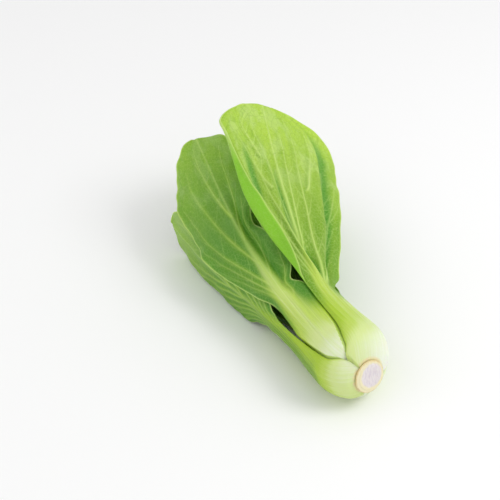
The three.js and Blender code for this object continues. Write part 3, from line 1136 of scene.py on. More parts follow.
@dataclass(frozen=True)
class LeafFinish:
    """The skin of a leaf: a waxy pale stalk that turns green, and a veined blade, with painted
    shade and painted highlights in its colour.
    """

    name: str
    stalk_white: Rgb = (238, 244, 228)
    stalk_pale: Rgb = (212, 228, 150)
    stalk_fresh: Rgb = (188, 213, 90)
    stalk_green: Rgb = (170, 202, 50)
    stalk_deep: Rgb = (118, 160, 34)
    scar: Rgb = (236, 224, 172)
    blade_foot: Rgb = (112, 158, 22)
    blade_tip: Rgb = (173, 208, 62)
    blade_inner: Rgb = (132, 196, 40)
    blade_deep: Rgb = (104, 152, 26)
    # painted shade colour for blades that lie in shade
    blade_shaded: Rgb = (66, 134, 36)
    # painted shade colour in the folded valleys
    blade_valley_shade: Rgb = (80, 150, 36)
    # painted highlight on the raised pleat crests and beside the midrib
    crest_highlight: Rgb = (166, 200, 72)
    patch: Rgb = (190, 217, 124)
    vein_outer: Rgb = (202, 228, 128)
    vein_inner: Rgb = (160, 205, 90)
    # painted highlight along every margin
    margin: Rgb = (200, 228, 124)
    fibre_scale: Triple = (1.3, 0.025, 1.0)
    strand_scale: Triple = (0.35, 0.012, 1.0)
    streak_scale: Triple = (0.22, 0.02, 1.0)
    patch_scale: Triple = (0.11, 0.05, 1.0)
    fibre_contrast: float = 1.6
    strand_contrast: float = 1.8
    net_strength: float = 0.3
    fine_net_strength: float = 0.14
    # strength of the painted green shade in the seams
    seam_shade_strength: float = 0.75
    # strength of the painted shade left of the main veins
    shaded_flank_strength: float = 0.6
    valley_shade_strength: float = 0.9
    patch_strength: float = 0.5
    mesh_strength: float = 0.3
    margin_strength: float = 0.8
    stalk_roughness: float = 0.34
    blade_roughness: float = 0.48
    relief: float = 0.4
    relief_height: float = 0.0004

    def material(self) -> bpy.types.Material:
        """The material, worked out from the leaf's stored attributes.

        Returns:
            The finished material.
        """
        s = Shader(self.name)
        place = s.vector_attribute("leaf_place")
        flow = s.vector_attribute("flow")
        blade = s.attribute("blade")
        fibres = s.noise(s.scaled(place, self.fibre_scale), 1.0, 3.0)
        strands = s.noise(s.scaled(place, self.strand_scale), 1.0, 2.0)
        stalk = self._stalk(s, fibres, strands)
        net = s.ramp(s.cell_edges(s.scaled(place, (1.0, 0.75, 1.0)), 0.5), 0.07, 0.0)
        fine_net = s.ramp(s.cell_edges(s.scaled(place, (1.0, 0.8, 1.0)), 1.2), 0.1, 0.0)
        nets = s.plus(s.times(net, self.net_strength), s.times(fine_net, self.fine_net_strength))
        veined = self._blade(s, place, flow, nets)
        colour = s.mix(blade, stalk, veined)
        cells = s.noise(place, 1.6, 2.0)
        height = s.plus(s.times(fibres, 0.6), s.times(cells, 0.15))
        height = s.plus(height, s.times(nets, 1.2))
        added_roughness = s.times(blade, self.blade_roughness - self.stalk_roughness)
        return s.surface(
            Base_Color=colour,
            Roughness=s.plus(added_roughness, self.stalk_roughness),
            Normal=s.bump(height, self.relief, self.relief_height),
            Subsurface_Weight=0.22,
            Subsurface_Radius=(0.7, 1.0, 0.3),
            Subsurface_Scale=0.003,
            Specular_IOR_Level=0.3,
        )

    def _stalk(self, s: Shader, fibres: object, strands: object) -> Socket:
        """Colour of the stalk: white at the cut, then pale, then green, in long fibres, with painted
        green shade in its seams and under covering leaves.

        Args:
            s: the material under construction.
            fibres: fine lengthwise noise.
            strands: broad lengthwise noise.

        Returns:
            The colour's socket.
        """
        fibre_shift = s.times(s.minus(fibres, 0.5), self.fibre_contrast)
        strand_shift = s.times(s.minus(strands, 0.5), self.strand_contrast)
        tint = s.attribute("greenness")
        strength = s.plus(0.3, s.times(s.ramp(tint, 0.6, 2.6), 0.7))
        shift = s.times(s.plus(fibre_shift, strand_shift), strength)
        green = s.plus(tint, shift)
        tones = (self.stalk_pale, self.stalk_fresh, self.stalk_green, self.stalk_deep)
        colour: object = self.stalk_white
        for step, tone in enumerate(tones):
            colour = s.mix(s.ramp(green, step, step + 1), colour, tone)
        # Painted shade: green along the stalk's own margins and where other leaves cover it.
        colour = s.mix(s.share("seam_shade", self.seam_shade_strength), colour, self.stalk_green)
        scar = s.share("scar", s.ramp(strands, 0.25, 0.5))
        return s.mix(scar, colour, self.scar)

    def _blade(self, s: Shader, place: object, flow: object, nets: object) -> Socket:
        """Colour of the blade: green in long streaks, with pale veins, painted highlights on the
        pleat crests and the margin, and painted shade.

        Args:
            s: the material under construction.
            place: the leaf's own coordinates.
            flow: the same, in shares of its width.
            nets: the strength of the net of small veins.

        Returns:
            The colour's socket.
        """
        inner = s.attribute("inner_face")
        streaks = s.noise(s.scaled(flow, self.streak_scale), 1.0, 4.0)
        clouds = s.noise(place, 0.05, 2.0)
        deep = s.ramp(s.plus(s.times(streaks, 0.7), s.times(clouds, 0.3)), 0.42, 0.66)
        outer = s.mix(s.attribute("tipward"), self.blade_foot, self.blade_tip)
        fading = s.minus(0.6, s.share("tipward", 0.4))
        outer = s.mix(s.times(deep, fading), outer, self.blade_deep)
        # Painted highlight: paler crests beside the veins and the midrib, weaker on shaded leaves.
        crests = s.minus(0.6, s.share("shade", 0.35))
        outer = s.mix(s.share("crest_highlight", crests), outer, self.crest_highlight)
        patches = s.ramp(s.noise(s.scaled(place, self.patch_scale), 1.0, 2.0), 0.45, 0.62)
        patches = s.times(patches, s.ramp(s.attribute("tipward"), 0.25, 0.8))
        outer = s.mix(s.times(patches, self.patch_strength), outer, self.patch)
        pale = s.ramp(s.attribute("tipward"), 0.6, 0.95)
        inside = s.mix(pale, self.blade_inner, self.vein_outer)
        inside = s.mix(s.times(deep, 0.4), inside, self.blade_deep)
        green = s.mix(inner, outer, inside)
        # Painted shade: the leaf's shade share darkens the blade, less on the crest highlights.
        shaded = s.share("shade", s.ramp(s.attribute("crest_highlight"), 1.0, 0.3))
        green = s.mix(shaded, green, self.blade_shaded)
        # Painted shade down the left side of each main vein.
        green = s.mix(s.share("shaded_flank", self.shaded_flank_strength), green, self.blade_deep)
        vein_colour = s.mix(inner, self.vein_outer, self.vein_inner)
        # Painted shade in the folded valleys.
        green = s.mix(s.share("valley_shade", self.valley_shade_strength), green, self.blade_valley_shade)
        # Painted shade also dims the veins and the net of small veins.
        clear = s.minus(0.95, s.share("shade", 0.7))
        veined = s.mix(s.times(nets, clear), green, vein_colour)
        veined = s.mix(s.share("vein", clear), veined, vein_colour)
        mesh = s.ramp(s.cell_edges(s.scaled(place, (1.0, 0.7, 1.0)), 0.24), 0.06, 0.0)
        mesh = s.times(mesh, s.ramp(s.attribute("tipward"), 0.4, 0.8))
        veined = s.mix(s.times(mesh, self.mesh_strength), veined, self.blade_deep)
        # Painted highlight: a pale line along the margin.
        return s.mix(s.share("margin", self.margin_strength), veined, self.margin)


@dataclass(frozen=True)
class CutStemFinish:
    """The cut face of the stem, moist and faintly lilac, in a tan rim."""

    name: str = "cut_stem"
    face: Rgb = (232, 225, 224)
    face_shade: Rgb = (218, 208, 214)
    rim: Rgb = (238, 229, 188)
    bark: Rgb = (222, 199, 142)
    rim_starts: tuple[float, float] = (6.6, 8.2)
    bark_starts: tuple[float, float] = (9.2, 10.4)
    roughness: float = 0.5
    relief: float = 0.35
    relief_height: float = 0.0004

    def material(self) -> bpy.types.Material:
        """The material, worked out from the distance to the middle of the cut.

        Returns:
            The finished material.
        """
        s = Shader(self.name)
        place = s.vector_attribute("cut_place")
        out = s.attribute("cut_radius")
        grain = s.noise(s.scaled(place, (1.0, 0.3, 1.0)), 0.8, 3.0)
        fine = s.noise(place, 3.0, 3.0)
        flat = s.mix(s.ramp(grain, 0.3, 0.7), self.face, self.face_shade)
        wobble = s.times(s.minus(grain, 0.5), 1.6)
        edge = s.plus(out, wobble)
        ring = s.plus(s.attribute("ring_radius"), wobble)
        rimmed = s.mix(s.ramp(ring, *self.rim_starts), flat, self.rim)
        barked = s.mix(s.ramp(edge, *self.bark_starts), rimmed, self.bark)
        return s.surface(
            Base_Color=barked,
            Roughness=self.roughness,
            Normal=s.bump(s.plus(grain, fine), self.relief, self.relief_height),
            Subsurface_Weight=0.1,
            Subsurface_Radius=(1.0, 0.8, 0.6),
            Subsurface_Scale=0.002,
        )


# ---------------------------------------------------------------- pieces


class LeafPiece:
    """The finished sheet of one leaf.

    edge_step is how many columns inside the edge the face's direction is taken from.
    """

    edge_step: ClassVar[int] = 4
    edge_smoothing: ClassVar[int] = 6
    strip_thickness: ClassVar[float] = 0.35
    ridge_pitches: ClassVar[tuple[float, ...]] = (2.1, 3.4, 5.6)
    ridge_height: ClassVar[float] = 0.035
    wave_count: ClassVar[int] = 5
    seed_step: ClassVar[float] = 300.0

    def __init__(self, laid: LaidLeaf) -> None:
        """Works out the fine surface.

        Args:
            laid: the leaf in its place under the others.
        """
        self.laid = laid
        self.leaf = laid.leaf
        factor = self.leaf.fineness
        self.a = refined(laid.rows, factor)[:, None] + 0 * refined(laid.columns, factor)
        self.u = refined(laid.columns, factor) + 0 * self.a
        self.half = self.leaf.half_width(self.a, self.u > 0)
        self.across = self.u * self.half
        strip = self._strip_width()
        self.across = np.where(self.u < 0, self.u * (self.half + strip), self.across)
        self.vein, self.pleat, self.shaded_flank = Venation(self.leaf).marks(self.across, self.a)
        self.points = self._surface(factor)

    def _strip_width(self) -> Array:
        """Width of the turned-over left margin on every row, nothing on a plain leaf."""
        reflex = self.leaf.reflex
        return np.zeros_like(self.a) if reflex is None else reflex.width_at(self.a)

    def _surface(self, factor: int) -> Array:
        """Vertices of the outer face, then of the inner face, in millimetres.

        Args:
            factor: how many fine steps replace one of the laid leaf's grid.

        Returns:
            The vertices, one face after the other.
        """
        laid = self.laid
        leaf = self.leaf
        theta = refined(laid.theta, factor)
        outer = refined(laid.outer, factor)
        depth = refined(laid.outer - laid.inner, factor)
        loose = np.clip(refined(laid.looseness, factor), 0, 1)
        flat_across = self.u * self.half
        vein, pleat = self.vein, self.pleat
        if leaf.reflex is not None:
            vein, pleat, _ = Venation(leaf).marks(flat_across, self.a)
        t = leaf.grown(self.a)
        in_blade = smoothstep(0, 0.1, t)
        relief = in_blade * (leaf.pleat * (pleat - 0.5) * (1 - 0.8 * t) + 0.4 * vein)
        relief = relief + self._stalk_ridges(flat_across) * (1 - in_blade)
        relief = relief + self._fine_waves(flat_across) * in_blade
        relief = relief * (0.15 + 0.85 * loose) * self._rests()
        from_edge = self.half - np.abs(flat_across)
        depth = depth * (0.55 + 0.45 * smoothstep(0, 1.8, from_edge))
        bulge = in_blade * 0.12 * vein
        top = outer + relief
        place = laid.axis.place
        outside = place(top, theta, self.a)
        inside = place(top - depth - bulge, theta, self.a)
        if leaf.reflex is not None:
            outside, inside = self._turn_margin(outside, inside)
        return np.concatenate([outside.reshape(-1, 3), inside.reshape(-1, 3)])

    def _rests(self) -> Array:
        """Nothing where the leaf lies on the surface below, 1 a little above it.

        Returns:
            The shares, on the fine grid.
        """
        theta = refined(self.laid.theta, self.leaf.fineness)
        outer = refined(self.laid.outer, self.leaf.fineness)
        height = self.laid.axis.height + outer * np.cos(theta)
        return smoothstep(0.3, 2.5, height)

    def _stalk_ridges(self, across: Array) -> Array:
        """Lengthwise ridges of the stalk, strongest above the bulb.

        Args:
            across: places across, in millimetres from the midrib.

        Returns:
            The heights, in millimetres.
        """
        rng = np.random.default_rng(self.leaf.seed + 50)
        ridges = np.zeros_like(across)
        for pitch in self.ridge_pitches:
            phase = rng.uniform(0, 2 * math.pi)
            sway = 0.5 * np.sin(self.a / rng.uniform(14, 26) + phase)
            wave = np.cos(2 * math.pi * (across + sway) / pitch + phase)
            ridges += self.ridge_height * pitch * wave
        return ridges * (0.1 + 0.9 * smoothstep(15, 50, self.a)) * (1 - self.u**4)

    def _fine_waves(self, across: Array) -> Array:
        """Small uneven waves, which grow towards the margins.

        Args:
            across: places across, in millimetres from the midrib.

        Returns:
            The heights, in millimetres.
        """
        rng = np.random.default_rng(self.leaf.seed + 90)
        waves = np.zeros_like(across)
        for _ in range(self.wave_count):
            length = rng.uniform(11, 24)
            angle = rng.uniform(-1.1, 1.1)
            phase = rng.uniform(0, 2 * math.pi)
            run = self.a * math.cos(angle) + across * math.sin(angle)
            waves += np.sin(2 * math.pi * run / length + phase)
        return waves * self.leaf.fine_waves * (0.35 + np.abs(self.u) ** 3)

    def _turn_margin(self, outside: Array, inside: Array) -> tuple[Array, Array]:
        """Turns the left margin over outwards, into a strip that lies on the outer face.

        Args:
            outside: the outer face as it grew.
            inside: the inner face.

        Returns:
            Both faces with their outermost columns in the turned strip.
        """
        reflex = self.leaf.reflex
        columns = self.u[0]
        left = columns < 0
        near = self.edge_step
        outwards = unit(outside[:, 0] - outside[:, near])
        along = unit(np.gradient(outside[:, 0], axis=0))
        upwards = unit(np.cross(along, outwards))
        through = outside[:, near] - inside[:, near]
        upwards *= np.sign(np.sum(upwards * through, -1, keepdims=True))
        upwards = unit(smoothed(upwards, self.edge_smoothing))
        sideways = np.cross(upwards, along)
        outwards = unit(sideways * np.sign(np.sum(sideways * outwards, -1, keepdims=True)))
        most = math.radians(reflex.angle)
        new_outside, new_inside = outside.copy(), inside.copy()
        for i, a in enumerate(self.a[:, 0]):
            half = self.half[i, 0]
            strip = float(reflex.width_at(np.array(a)))
            arc = -columns[left] * (half + strip)
            source = -np.minimum(arc, half) / half
            for old, new in ((outside, new_outside), (inside, new_inside)):
                for k in range(3):
                    new[i, left, k] = np.interp(source, columns, old[i, :, k])
            past = np.maximum(arc - half, 0)[:, None]
            radius = min(reflex.radius, 0.25 * strip + 0.05)
            angle = np.minimum(past / radius, most)
            straight = np.maximum(past - radius * most, 0)
            move = radius * np.sin(angle) + straight * np.cos(angle)
            lift = radius * (1 - np.cos(angle)) + straight * np.sin(angle)
            turned = past[:, 0] > 0
            edge = outside[i, 0] + move * outwards[i] + lift * upwards[i]
            normal = -np.sin(angle) * outwards[i] + np.cos(angle) * upwards[i]
            spots = np.flatnonzero(left)[turned]
            new_outside[i, spots] = edge[turned]
            new_inside[i, spots] = (edge - self.strip_thickness * normal)[turned]
        return new_outside, new_inside

    def build(self, material: bpy.types.Material) -> bpy.types.Object:
        """Makes the mesh, stores what the material reads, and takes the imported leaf's place.

        Args:
            material: the leaf's material.

        Returns:
            The finished piece.
        """
        rows, columns = self.a.shape
        count = rows * columns
        quads = np.concatenate([
            grid_quads(rows, columns, 0, False),
            grid_quads(rows, columns, count, True),
            rim_quads(rows, columns),
        ])
        made = mesh_object(f"{self.leaf.name}_skin", self.points, quads, material)
        self.dress(made)
        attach(made, "root")
        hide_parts(self.leaf.name)
        return made

    def dress(self, made: bpy.types.Object) -> None:
        """Stores the places and strengths that the material reads.

        Args:
            made: the finished mesh object.
        """
        leaf = self.leaf
        t = leaf.grown(self.a)
        spread = np.abs(self.across) / np.maximum(self.half, 1e-6)
        strip = self._strip_width()
        from_edge = self.half + np.where(self.u < 0, strip, 0) - np.abs(self.across)
        loose = refined(self.laid.looseness, leaf.fineness)
        covered = 1 - smoothstep(0.05, 0.5, loose)
        wings = smoothstep(leaf.blade_start - 14, leaf.blade_start + 8, self.a + 8 * spread)
        rib_width = leaf.rib_width * (1 - t) ** 3.4 + 0.3
        in_rib = np.exp(-((self.across / rib_width) ** 4))
        blade = wings * (1 - in_rib * (1 - smoothstep(0.0, 0.4, t)))
        flat = np.zeros_like(self.a)
        far = self.a + self.seed_step * leaf.seed
        place = np.stack([self.across, far, flat], -1)
        share = self.across / np.maximum(self.half, 1e-6)
        flow = np.stack([24 * share, far, flat], -1)
        # painted shade near the margins and under covering leaves
        at_seam = np.maximum(np.exp(-((from_edge / 1.3) ** 2)), covered)
        both = {
            "leaf_place": place,
            "flow": flow,
            "greenness": leaf.tint.greenness(share, self.a),
            "scar": smoothstep(2.0, 0.5, leaf.midline(self.a) - leaf.base_radius),
            "seam_shade": at_seam * smoothstep(-4, 12, self.a),
            "tipward": smoothstep(0.1, 0.95, t),
            "blade": blade,
            "vein": self.vein * smoothstep(0, 0.06, t),
            # where the painted crest highlight lies
            "crest_highlight": self.pleat,
            # painted shade left of the main veins
            "shaded_flank": self.shaded_flank,
            # painted shade in the folded valleys, weaker where the leaf already has painted shade
            "valley_shade": leaf.valley_shade(share, t) * (1 - 0.7 * leaf.shade),
            # painted shade share, fading towards the tip
            "shade": leaf.shade * (1 - 0.45 * smoothstep(0.4, 1, t)),
            # where the painted margin highlight lies
            "margin": np.exp(-((from_edge / 0.7) ** 2)) * smoothstep(0.02, 0.1, t),
        }
        for name, values in both.items():
            one = values.reshape(-1, 3) if values.ndim > 2 else values.ravel()
            set_attribute(made, name, np.concatenate([one, one]))
        inner = np.concatenate([flat.ravel(), flat.ravel() + 1])
        set_attribute(made, "inner_face", inner)


@dataclass(frozen=True)
class StemCorePiece:
    """The stem inside the bulb, with its cut face and rim."""

    axis: HeadAxis
    face_radius: float = 7.6
    face_depth: float = 1.5
    rim_radius: float = 10.3
    pith_right: float = 1.1
    pith_up: float = 0.8
    dip_depth: float = 0.22
    saw_depth: float = 0.05
    face_rings: int = 14
    sides: int = 128
    seed: int = 7

    def profile(self) -> list[tuple[float, float]]:
        """Radius and place of each ring, from the middle of the face to the core's inner end.

        Returns:
            The rings, each as a radius and a place along the axis.
        """
        face, depth, rim = self.face_radius, self.face_depth, self.rim_radius
        rings = [(face * k / self.face_rings, -depth) for k in range(1, self.face_rings + 1)]
        rings += [(face + 0.25, 0.1 - depth), (face + 0.5, 0.35 - depth), (face + 0.9, 0.45 - depth)]
        rings += [(rim - 1.1, 0.42 - depth), (rim - 0.5, 0.5 - depth), (rim - 0.15, 0.75 - depth)]
        rings += [(rim, 1.05 - depth), (rim - 0.1, 1.35 - depth), (rim - 0.4, 0.05)]
        rings += [(self.axis.core_radii[0], 0.1)]
        rings += list(zip(self.axis.core_radii[1:], self.axis.core_places[1:]))
        return rings

    def _surface(self) -> tuple[Array, Array, Array]:
        """The corners of the rings, with an uneven rim and a hollowed, sawn face.

        Returns:
            Their distances from the axis, their angles round it and their places along it.
        """
        rng = np.random.default_rng(self.seed)
        rings = np.array(self.profile())
        turn = np.arange(self.sides) * 2 * math.pi / self.sides
        radius = rings[:, :1] + 0 * turn
        a = rings[:, 1:] + 0 * turn
        uneven = np.zeros_like(turn)
        for waves in (3, 5, 8, 13):
            uneven += rng.uniform(0.04, 0.13) * np.sin(waves * turn + rng.uniform(0, 6.3))
        near_rim = np.exp(-(((radius - self.rim_radius) / 1.6) ** 2)) * (a < 0)
        radius = radius - np.abs(uneven) * 0.7 * near_rim
        on_face = a <= -self.face_depth
        dip = self.dip_depth * (1 - np.clip(radius / self.face_radius, 0, 1) ** 2) * on_face
        saw = self.saw_depth * np.sin(radius * np.cos(turn) * 2.4 + 0.7) * on_face
        return radius, turn + 0 * radius, a + dip + saw

    def _faces(self, rings: int) -> list[tuple[int, ...]]:
        """Corner numbers of the faces between the rings and of the fans at both ends.

        Args:
            rings: how many rings there are.

        Returns:
            The faces, the fans' middle corners numbered after all the rings.
        """
        corner = np.arange(rings * self.sides).reshape(rings, self.sides)
        following = np.roll(corner, -1, axis=1)
        quads = np.stack([corner[:-1], following[:-1], following[1:], corner[1:]], -1)
        hub = rings * self.sides
        faces = [tuple(quad) for quad in quads.reshape(-1, 4).tolist()]
        faces += [(hub, int(b), int(a)) for a, b in zip(corner[0], following[0])]
        faces += [(hub + 1, int(a), int(b)) for a, b in zip(corner[-1], following[-1])]
        return faces

    def build(self, material: bpy.types.Material) -> bpy.types.Object:
        """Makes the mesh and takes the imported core's place.

        Args:
            material: the cut stem's material.

        Returns:
            The finished piece.
        """
        radius, turn, a = self._surface()
        points = self.axis.place(radius, turn, a).reshape(-1, 3)
        middle = self.axis.middle(self.dip_depth - self.face_depth)
        end = self.axis.middle(self.axis.core_places[-1] + 0.8)
        everything = np.concatenate([points, middle[None], end[None]]) * MM
        mesh = bpy.data.meshes.new("cut_stem_core")
        mesh.from_pydata(everything.tolist(), [], self._faces(len(radius)))
        mesh.validate()
        mesh.shade_smooth()
        mesh.materials.append(material)
        made = added("cut_stem_core", mesh)
        self.dress(made, np.stack([radius * np.sin(turn), radius * np.cos(turn), a], -1))
        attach(made, "root")
        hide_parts("stem_core")
        return made

    def dress(self, made: bpy.types.Object, places: Array) -> None:
        """Stores the places and distances that the material reads.

        Args:
            made: the finished mesh object.
            places: the rings' corners to the right of the axis, above it and along it.
        """
        flat = places.reshape(-1, 3)
        ends = np.array([[0.0, 0.0, -self.face_depth], [0.0, 0.0, self.axis.core_places[-1]]])
        set_attribute(made, "cut_place", np.concatenate([flat, ends]))
        radius = np.hypot(flat[:, 0], flat[:, 1])
        set_attribute(made, "cut_radius", np.concatenate([radius, [0.0, 1.0]]))
        aside = np.hypot(flat[:, 0] - self.pith_right, flat[:, 1] - self.pith_up)
        set_attribute(made, "ring_radius", np.concatenate([aside, [1.0, 1.0]]))


# ---------------------------------------------------------------- the head


class BokChoy:
    """The whole head: its leaves from the outermost to the heart, and its stem."""

    def __init__(self) -> None:
        """Sets out the leaves in the order that they overlap."""
        self.axis = HeadAxis()
        self.leaves = self._wrappers() + self._heart()

    @staticmethod
    def _wrappers() -> list[Leaf]:
        """The outer leaves, the outermost first.

        Returns:
            The leaves' sizes.
        """
        return [
            Leaf("leaf_01", around=-92, drift=-2, start=0.6, tip=186, reach=(25, 23.5, 26, 36, 46),
                 left=Side(clasp=44, half_width=34, neck=6.5, flare=24, opening=1.3),
                 right=Side(clasp=34, half_width=30, neck=6.5, flare=18, flare_end=16,
                            narrows=(6, 56), opening=1.0),
                 thickness=6.5, cup=0.2, wave_phase=0.4, tuck=1.9,
                 tint=StalkTint(at_cut=0.9, rise=3.0, places=(3, 24), to_right=-1.1, to_margins=0.0),
                 shade=0.8, seed=11, grid=(96, 41)),
            Leaf("leaf_03", around=13, drift=14, start=0.6, tip=222.5, reach=(25, 24, 29, 44, 66.3),
                 left=Side(clasp=40, half_width=36.5, neck=9, flare=20, narrows=(2, 42),
                           opening=1.35, rounding=2.6,
                           bulges=(Bulge(156, 26, -4.2), Bulge(197, 12, 4.8), Bulge(192, 3, 0.9))),
                 right=Side(clasp=60, half_width=47, neck=7, flare=30, flare_end=15,
                            opening=0.62, rounding=3.8,
                            bulges=(Bulge(188, 26, 7.4), Bulge(210, 11, 3), Bulge(68, 7, 3))),
                 thickness=6.5, blade_start=58, tuck=1.9, cup=0.1, widest=0.64, ruffle=0.5,
                 wave_length=70, fine_waves=0.08,
                 folds=(Fold(0.54, 0.14, 2.5, foot=0.3, head=0.74),
                        Fold(0.76, 0.095, -4.5, foot=0.52, head=0.8, till=1.06),
                        Fold(-0.85, 0.15, 2), Fold(-0.24, 0.11, 2, foot=0.06, head=-0.34),
                        Fold(-0.66, 0.1, -1.8, since=0.35, till=0.88),
                        Fold(-0.1, 0.07, -2.4, foot=0.28, till=0.75)),
                 reflex=Reflex(places=(0.6, 62, 80, 92, 106, 122, 140, 165, 188, 202, 220),
                               widths=(0.01, 0.01, 6.5, 10, 11.5, 11.5, 8.5, 4.6, 2.4, 1.2, 0.01),
                               radius=0.9),
                 veins=(VeinPath(-0.38, 60, 206, 0.75, 0.18), VeinPath(-0.76, 138, 190, 0.8, -0.3),
                        VeinPath(-0.6, 60, 176, 0.85, 0.1), VeinPath(-0.86, 58, 165, 0.85),
                        VeinPath(-0.97, 58, 140, 0.6), VeinPath(-0.6, 166, 212, 0.7, -0.36),
                        VeinPath(0.36, 60, 212, 0.3, 0.2), VeinPath(0.64, 141, 204, 0.6, 0.4),
                        VeinPath(0.18, 84, 196, 0.5), VeinPath(0.8, 62, 168, 0.4, 0.2),
                        VeinPath(0.92, 58, 150, 0.3)),
                 tint=StalkTint(at_cut=0.5, rise=1.6, places=(2, 34), to_right=-1.2, to_margins=0.0),
                 rib=0.5, rib_width=4.2, pleat=1.3, shade=0.0, seed=13, grid=(70, 65)),
            Leaf("leaf_02", around=148, drift=-10, start=0.9, tip=180, reach=(25.5, 24, 25, 28.5, 33),
                 left=Side(clasp=48, half_width=34, neck=7.5),
                 right=Side(clasp=50, half_width=34, neck=7.5),
                 thickness=6.5, blade_start=62, cup=0.35, swell=0.85, wave_phase=2.1, floor=0,
                 seed=12, grid=(84, 35)),
            Leaf("leaf_04", around=-128, drift=4, start=3, tip=176, reach=(24, 21, 24, 30, 38),
                 left=Side(clasp=52, half_width=32, neck=8),
                 right=Side(clasp=50, half_width=32, neck=8),
                 thickness=5.5, wave_phase=1.3, floor=0, seed=14, grid=(84, 35)),
            Leaf("leaf_05", around=96, drift=2, start=3, tip=188, reach=(24, 22, 26, 36, 48),
                 left=Side(clasp=52, half_width=33, neck=9),
                 right=Side(clasp=52, half_width=23, neck=10.5),
                 thickness=5.5, cup=0.25, wave_phase=3.0, seed=15, grid=(90, 39)),
            Leaf("leaf_06", around=-45, drift=21, start=4.5, tip=216, reach=(24, 22, 25, 33, 48),
                 left=Side(clasp=48, half_width=32.7, neck=8.5, opening=0.95),
                 right=Side(clasp=46, half_width=18, neck=16.5, opening=0.75, rounding=3.6,
                            bulges=(Bulge(76, 6, -6.5), Bulge(130, 14, -7.5), Bulge(203, 12, 6))),
                 thickness=5.5, wave_phase=4.2, slips_over=("leaf_01", "leaf_04"),
                 folds=(Fold(0.33, 0.16, -2.6, till=0.8), Fold(-0.5, 0.3, 2.5)),
                 veins=(VeinPath(-0.95, 62, 118, 0.5), VeinPath(-0.93, 66, 142, 0.55),
                        VeinPath(-0.86, 76, 168, 0.6), VeinPath(-0.62, 98, 194, 0.7),
                        VeinPath(-0.3, 140, 208, 0.7), VeinPath(0.9, 62, 108, 0.4),
                        VeinPath(0.62, 84, 150, 0.6), VeinPath(0.6, 120, 200, 0.7)),
                 tint=StalkTint(at_cut=0.5, rise=1.0, places=(12, 45), to_right=0.0, to_margins=2.0),
                 rib=2.0, pleat=0.5, vein_width=0.5, shade=0.75, seed=16, grid=(84, 55)),
        ]

    @staticmethod
    def _heart() -> list[Leaf]:
        """The small leaves inside the bulb.

        Returns:
            The leaves' sizes.
        """
        shared = {"kind": LeafKind.HEART, "grid": (70, 27), "fineness": 2, "vein_count": 5}
        return [
            Leaf("leaf_07", around=181, drift=6, start=11, tip=190, reach=(19, 16, 18, 21, 23),
                 left=Side(clasp=55, half_width=28, neck=7),
                 right=Side(clasp=55, half_width=28, neck=7),
                 thickness=4.5, cup=0.4, base_radius=8, wave_phase=0.9, seed=17, **shared),
            Leaf("leaf_08", around=43.5, drift=8, start=9, tip=198, reach=(19, 16, 19, 27, 40),
                 left=Side(clasp=55, half_width=34, neck=7),
                 right=Side(clasp=55, half_width=28, neck=7),
                 thickness=4.5, cup=0.4, base_radius=8, wave_phase=2.6, seed=18, **shared),
            Leaf("leaf_09", around=-94, drift=10, start=15, tip=182, reach=(15, 13, 15, 20, 28),
                 left=Side(clasp=58, half_width=24, neck=6),
                 right=Side(clasp=58, half_width=24, neck=6),
                 thickness=3.5, cup=0.5, base_radius=7, wave_phase=5.1, seed=19, **shared),
            Leaf("leaf_10", around=130, drift=-6, start=15, tip=170, reach=(13, 11, 13, 17, 22),
                 left=Side(clasp=60, half_width=20, neck=5.5),
                 right=Side(clasp=60, half_width=20, neck=5.5),
                 thickness=3.2, cup=0.6, base_radius=7, wave_phase=3.7, seed=20, **shared),
            Leaf("leaf_11", around=-9, drift=12, start=21, tip=160, reach=(9.5, 8.5, 10, 14, 20),
                 left=Side(clasp=65, half_width=16, neck=5),
                 right=Side(clasp=65, half_width=16, neck=5),
                 thickness=3, blade_start=58, cup=0.7, base_radius=6, wave_phase=1.8, seed=21,
                 **shared),
        ]

    def lay(self) -> list[LaidLeaf]:
        """Lays every leaf under those that cover it.

        A leaf whose blade slips over others is first laid without them, so that they can pass
        under its blade, and then once more in its own place in the order.

        Returns:
            The laid leaves, in order.
        """
        slipping = [leaf for leaf in self.leaves if leaf.slips_over]
        laid: list[LaidLeaf] = []
        for leaf in self.leaves:
            covering = [other for other in slipping if leaf.name in other.slips_over]
            over = [LaidLeaf(other, [], self.axis) for other in covering]
            laid.append(LaidLeaf(leaf, laid + over, self.axis))
        return laid

    def build(self) -> list[bpy.types.Object]:
        """Makes every piece of the head.

        Returns:
            The pieces, the stem first.
        """
        skins = {
            LeafKind.WRAPPER: LeafFinish("leaf_skin").material(),
            # Painted shade: heart leaves get darker greens than their own pale colour, as they show
            # only in shaded crevices.
            LeafKind.HEART: LeafFinish(
                "heart_leaf_skin",
                stalk_pale=(196, 216, 140),
                stalk_fresh=(128, 164, 66),
                stalk_green=(96, 136, 42),
                stalk_deep=(78, 118, 34),
                blade_foot=(110, 160, 40),
                blade_inner=(104, 166, 44),
            ).material(),
        }
        pieces = [StemCorePiece(self.axis).build(CutStemFinish().material())]
        for laid in self.lay():
            pieces.append(LeafPiece(laid).build(skins[laid.leaf.kind]))
            LOG.info("%s: %d faces", laid.leaf.name, len(pieces[-1].data.polygons))
        return pieces


# ---------------------------------------------------------------- the studio


@dataclass(frozen=True)
class Lamp:
    """A square soft light that faces the middle of the head, in metres and watts."""

    name: str
    place: Triple
    size: float
    power: float
    aim: Triple = (0.0, 0.0, 0.03)

    def hang(self) -> None:
        """Adds the light to the scene."""
        data = bpy.data.lights.new(self.name, "AREA")
        data.size = self.size
        data.energy = self.power
        lamp = added(self.name, data)
        lamp.location = self.place
        heading = Vector(self.aim) - Vector(self.place)
        lamp.rotation_euler = heading.to_track_quat("-Z", "Y").to_euler()


